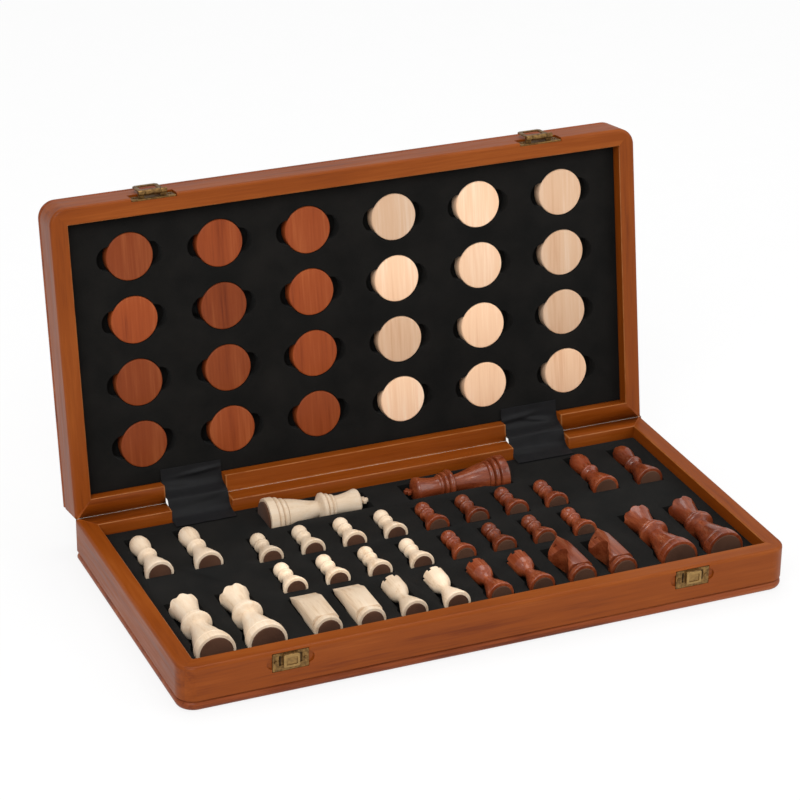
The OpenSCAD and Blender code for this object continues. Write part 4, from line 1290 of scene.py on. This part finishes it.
@dataclass
class Latches:
    """The two latches: catch plates in the base, hasps and their plates on the lid."""

    brass: bpy.types.Material
    front: float = -97.5
    catch_size: Point = (22.0, 11.5)
    catch_top: float = 27.0
    block_size: Point = (10.0, 8.0)
    block_top: float = 26.2
    block_out: float = 2.4
    plate_t: float = 1.0
    mortise_w: float = 29.0
    mortise_d: float = 2.2
    plate_clear: float = 0.3
    hasp_plate_h: float = 9.0
    lid_rim: float = 28.8
    axis_out: float = 2.0
    axis_up: float = 3.0
    barrel_r: float = 1.6
    barrel: float = 18.0
    knuckle: float = 10.0
    knuckle_gap: float = 0.3
    pin_r: float = 0.7
    hasp_w: float = 16.0
    hasp_t: float = 1.0
    hasp_tip: float = 15.5
    window: Point = (17.7, 26.7)
    window_w: float = 11.0
    hasp_open: float = 178.0
    nail_x: float = 9.0
    hasp_nail_x: float = 11.1

    @staticmethod
    def rounded(low: Point, high: Point, radius: float, y: float, steps: int = 4) -> list[Vector]:
        """Outline of a rounded plate that faces the front."""
        spots = []
        for cx, cz, start in ((high[0] - radius, low[1] + radius, -90),
                              (high[0] - radius, high[1] - radius, 0),
                              (low[0] + radius, high[1] - radius, 90),
                              (low[0] + radius, low[1] + radius, 180)):
            for i in range(steps + 1):
                a = math.radians(start + 90 * i / steps)
                spots.append(Vector((cx + radius * math.cos(a), y, cz + radius * math.sin(a))))
        return spots

    def catch(self) -> bpy.types.Object:
        """Model a catch plate with its raised block between two dished grooves."""
        w, h = self.catch_size
        top, y = self.catch_top, self.front
        plate = Bench.plate("catch", self.rounded((-w / 2, top - h), (w / 2, top), 0.8, y),
                            Vector((0, self.plate_t, 0)))
        bw, bh = self.block_size
        low, high = self.block_top - bh, self.block_top
        block = Bench.plate("block", self.rounded((-bw / 2, low), (bw / 2, high), 1.0,
                                                  y - self.block_out),
                            Vector((0, self.block_out + self.plate_t / 2, 0)))
        Bench.modify(block, "BEVEL", width=0.45, segments=3, limit_method="ANGLE",
                     angle_limit=math.radians(50))
        dish = Bench.plate("dish", self.rounded((-bw / 2 + 1.6, low + 1.5), (bw / 2 - 1.6, high - 1.5),
                                                0.6, y - self.block_out - 1), Vector((0, 1.45, 0)))
        Bench.cut(block, dish)
        for side in (-1, 1):
            x = side * (bw / 2 + 1.3)
            groove = Bench.rod("groove", 1.0, Vector((x, y - 0.45, low + 0.8)),
                               Vector((x, y - 0.45, high - 0.8)), 20)
            hole = Bench.rod("hole", 0.6, Vector((side * self.nail_x, y - 1, top - h / 2)),
                             Vector((side * self.nail_x, y + 2, top - h / 2)), 20)
            Bench.cut(plate, groove, hole)
        Bench.cut(plate, block, join=True)
        return Bench.smooth(plate)

    def hasp(self) -> bpy.types.Object:
        """Model a hasp as it hangs when it is shut, with its window and its knuckle."""
        y, z = self.front - self.axis_out, self.lid_rim + self.axis_up
        neck = self.knuckle - self.knuckle_gap
        shoulder = z - self.barrel_r - self.knuckle_gap
        w = self.hasp_w / 2
        lip = [Vector((x, y - self.hasp_t / 2, h)) for x, h in
               ((-w, self.hasp_tip + 1.6), (-w + 1.6, self.hasp_tip), (w - 1.6, self.hasp_tip),
                (w, self.hasp_tip + 1.6), (w, shoulder - 1), (w - 1, shoulder), (neck / 2, shoulder),
                (neck / 2, z), (-neck / 2, z), (-neck / 2, shoulder), (-w + 1, shoulder),
                (-w, shoulder - 1))]
        plate = Bench.plate("hasp", lip, Vector((0, self.hasp_t, 0)))
        opening = Bench.plate("window", self.rounded(
            (-self.window_w / 2, self.window[0]), (self.window_w / 2, self.window[1]), 1.2,
            y - self.hasp_t * 2), Vector((0, self.hasp_t * 4, 0)))
        Bench.cut(plate, opening)
        Bench.modify(plate, "BEVEL", width=0.22, segments=2, limit_method="ANGLE",
                     angle_limit=math.radians(50))
        barrel = Bench.rod("barrel", self.barrel_r, Vector((-neck / 2, y, z)),
                           Vector((neck / 2, y, z)))
        Bench.cut(plate, barrel, join=True)
        bore = Bench.rod("bore", self.pin_r + 0.05, Vector((-neck, y, z)), Vector((neck, y, z)), 24)
        Bench.cut(plate, bore)
        return Bench.smooth(plate)

    def hasp_plate(self) -> bpy.types.Object:
        """Model a hasp's plate as it is with the lid shut, with its two end knuckles."""
        y0 = self.front + self.mortise_d - self.plate_t
        y, z = self.front - self.axis_out, self.lid_rim + self.axis_up
        low = self.lid_rim + self.plate_clear
        w = self.mortise_w / 2 - self.plate_clear
        plate = Bench.plate("hasp_plate",
                            self.rounded((-w, low), (w, low + self.hasp_plate_h), 0.6, y0),
                            Vector((0, self.plate_t, 0)))
        Bench.modify(plate, "BEVEL", width=0.2, segments=2, limit_method="ANGLE",
                     angle_limit=math.radians(50))
        inner = self.knuckle / 2 + self.knuckle_gap / 2
        for side in (-1, 1):
            a, b = sorted((side * inner, side * self.barrel / 2))
            web = Bench.block("web", Vector((a, y, z + self.barrel_r - self.plate_t)),
                              Vector((b, y0 + self.plate_t / 2, z + self.barrel_r)))
            rod = Bench.rod("knuckle", self.barrel_r, Vector((a, y, z)), Vector((b, y, z)))
            Bench.cut(plate, web, rod, join=True)
            hole_z = low + self.hasp_plate_h / 2
            hole = Bench.rod("hole", 0.6, Vector((side * self.hasp_nail_x, y0 - 1, hole_z)),
                             Vector((side * self.hasp_nail_x, y0 + 2, hole_z)), 20)
            Bench.cut(plate, hole)
        bore = Bench.rod("bore", self.pin_r, Vector((-self.barrel, y, z)),
                         Vector((self.barrel, y, z)), 24)
        Bench.cut(plate, bore)
        return Bench.smooth(plate)

    def build(self) -> None:
        """Model each latch part once and set its copies."""
        # The catch plates' brass has painted shade in its recesses.
        catch_brass_painted_shade = BrassFinish("aged_brass_catch", hollow=self.front + 0.05).material()
        swing = BOX.swing()
        pivot = Vector((0, self.front - self.axis_out, self.lid_rim + self.axis_up))
        back = (Matrix.Translation(pivot) @ Matrix.Rotation(math.radians(-self.hasp_open), 4, "X")
                @ Matrix.Translation(-pivot))
        for model, kind, place in ((self.catch(), "catch_plate", Matrix.Identity(4)),
                                   (self.hasp_plate(), "hasp_plate", swing),
                                   (self.hasp(), "hasp", swing @ back)):
            for side, sign in (("left", -1), ("right", 1)):
                shift = Matrix.Translation((sign * BOX.latch_x, 0, 0))
                piece = Bench.copy(model, f"{side}_{kind}_metal", place @ shift)
                body = {"catch_plate": "base", "hasp_plate": "lid", "hasp": f"{side}_hasp_flap"}[kind]
                metal = catch_brass_painted_shade if kind == "catch_plate" else self.brass
                Fitted(body, "aged_brass", (f"{side}_{kind}",)).settle(piece, metal)
            bpy.data.objects.remove(model)


@dataclass
class Studio:
    """Camera, pale floor and soft light."""

    lens: float = 131.07
    sensor: float = 36.0
    spot: tuple[float, float, float] = (-0.6399, -1.4318, 0.8699)
    ahead: tuple[float, float, float] = (0.3577, 0.8278, -0.4321)
    right: tuple[float, float, float] = (0.9199, -0.3919, 0.0107)
    middle: tuple[float, float, float] = (0, 0.03, 0.08)
    world_light: float = 0.72
    floor_glow: float = 0.82

    def camera(self) -> None:
        """Set the camera at the photograph's angle."""
        data = bpy.data.cameras.new("camera")
        data.lens, data.sensor_width = self.lens, self.sensor
        data.clip_start, data.clip_end = 0.05, 20
        camera = bpy.data.objects.new("camera", data)
        ahead = Vector(self.ahead).normalized()
        right = Vector(self.right)
        right = (right - ahead * right.dot(ahead)).normalized()
        up = right.cross(ahead)
        turn = Matrix((right, up, -ahead)).transposed().to_4x4()
        camera.matrix_world = Matrix.Translation(self.spot) @ turn
        bpy.context.scene.collection.objects.link(camera)
        bpy.context.scene.camera = camera

    def lamp(self, name: str, spot: tuple[float, float, float], size: float, power: float) -> None:
        """Hang a soft square lamp that points at the box.

        Args:
            name: Name of the lamp.
            spot: Its place in metres.
            size: Its side in metres.
            power: Its power in watts.
        """
        data = bpy.data.lights.new(name, "AREA")
        data.shape, data.size, data.energy = "SQUARE", size, power
        lamp = bpy.data.objects.new(name, data)
        lamp.location = spot
        way = Vector(self.middle) - Vector(spot)
        lamp.rotation_euler = way.to_track_quat("-Z", "Y").to_euler()
        bpy.context.scene.collection.objects.link(lamp)

    def floor(self) -> None:
        """Lay the floor, which shows nearly white and keeps the box's shadow."""
        Bench.clear()
        bpy.ops.mesh.primitive_plane_add(size=12, location=(0, 0, -0.0002))
        floor = Bench.name(bpy.context.object, "floor")
        Bench.edit(floor)
        bpy.ops.mesh.select_all(action="SELECT")
        bpy.ops.mesh.subdivide(number_cuts=4)
        Bench.clear()
        nodes = Nodes("pale_floor")
        grit = nodes.noise(nodes.place, 30, 3)
        nodes.surface(Base_Color=nodes.mix(grit, linear((240, 240, 240)), linear((246, 246, 246))),
                      Roughness=0.9, Specular_IOR_Level=0.1)
        glow = nodes.add("ShaderNodeEmission", {"Color": (1, 1, 1, 1), "Strength": 1.0})
        path = nodes.add("ShaderNodeLightPath")
        seen = nodes.math("MAXIMUM", path.outputs["Is Camera Ray"],
                          nodes.math("MAXIMUM", path.outputs["Is Glossy Ray"],
                                     path.outputs["Is Transmission Ray"]))
        share = nodes.math("MULTIPLY", seen, self.floor_glow)
        blend = nodes.add("ShaderNodeMixShader", {0: share, 1: nodes.shader.outputs[0],
                                                  2: glow.outputs[0]})
        nodes.put(nodes.out.inputs["Surface"], blend.outputs[0])
        floor.data.materials.append(nodes.material)

    def sky(self) -> None:
        """Light the room evenly, white where it is seen."""
        world = bpy.data.worlds.new("studio")
        bpy.context.scene.world = world
        world.use_nodes = True
        tree = world.node_tree
        tree.nodes.clear()
        out = tree.nodes.new("ShaderNodeOutputWorld")
        plain = tree.nodes.new("ShaderNodeBackground")
        plain.inputs["Strength"].default_value = self.world_light
        white = tree.nodes.new("ShaderNodeBackground")
        white.inputs["Strength"].default_value = 1.0
        path = tree.nodes.new("ShaderNodeLightPath")
        mix = tree.nodes.new("ShaderNodeMixShader")
        tree.links.new(path.outputs["Is Camera Ray"], mix.inputs[0])
        tree.links.new(plain.outputs[0], mix.inputs[1])
        tree.links.new(white.outputs[0], mix.inputs[2])
        tree.links.new(mix.outputs[0], out.inputs["Surface"])

    def build(self) -> None:
        """Set up the studio."""
        self.camera()
        self.sky()
        self.floor()
        self.lamp("key", (-0.9, -1.2, 1.5), 1.2, 20)
        self.lamp("fill", (1.5, -0.9, 1.1), 1.4, 10)
        self.lamp("top", (0.2, 0.5, 1.9), 1.2, 11.5)
        bpy.context.scene.view_settings.view_transform = "Standard"


def main() -> None:
    """Build the studio and the sub-assemblies in order."""
    logging.basicConfig(level=logging.INFO, format="%(message)s")
    Studio().build()
    case = Case()
    case.build()
    FoamTrays().build()
    HingeCovers().build()
    ChessSet().build()
    Counters().build()
    Latches(case.brass).build()
    Bench.clear()


if __name__ == "__main__":
    main()
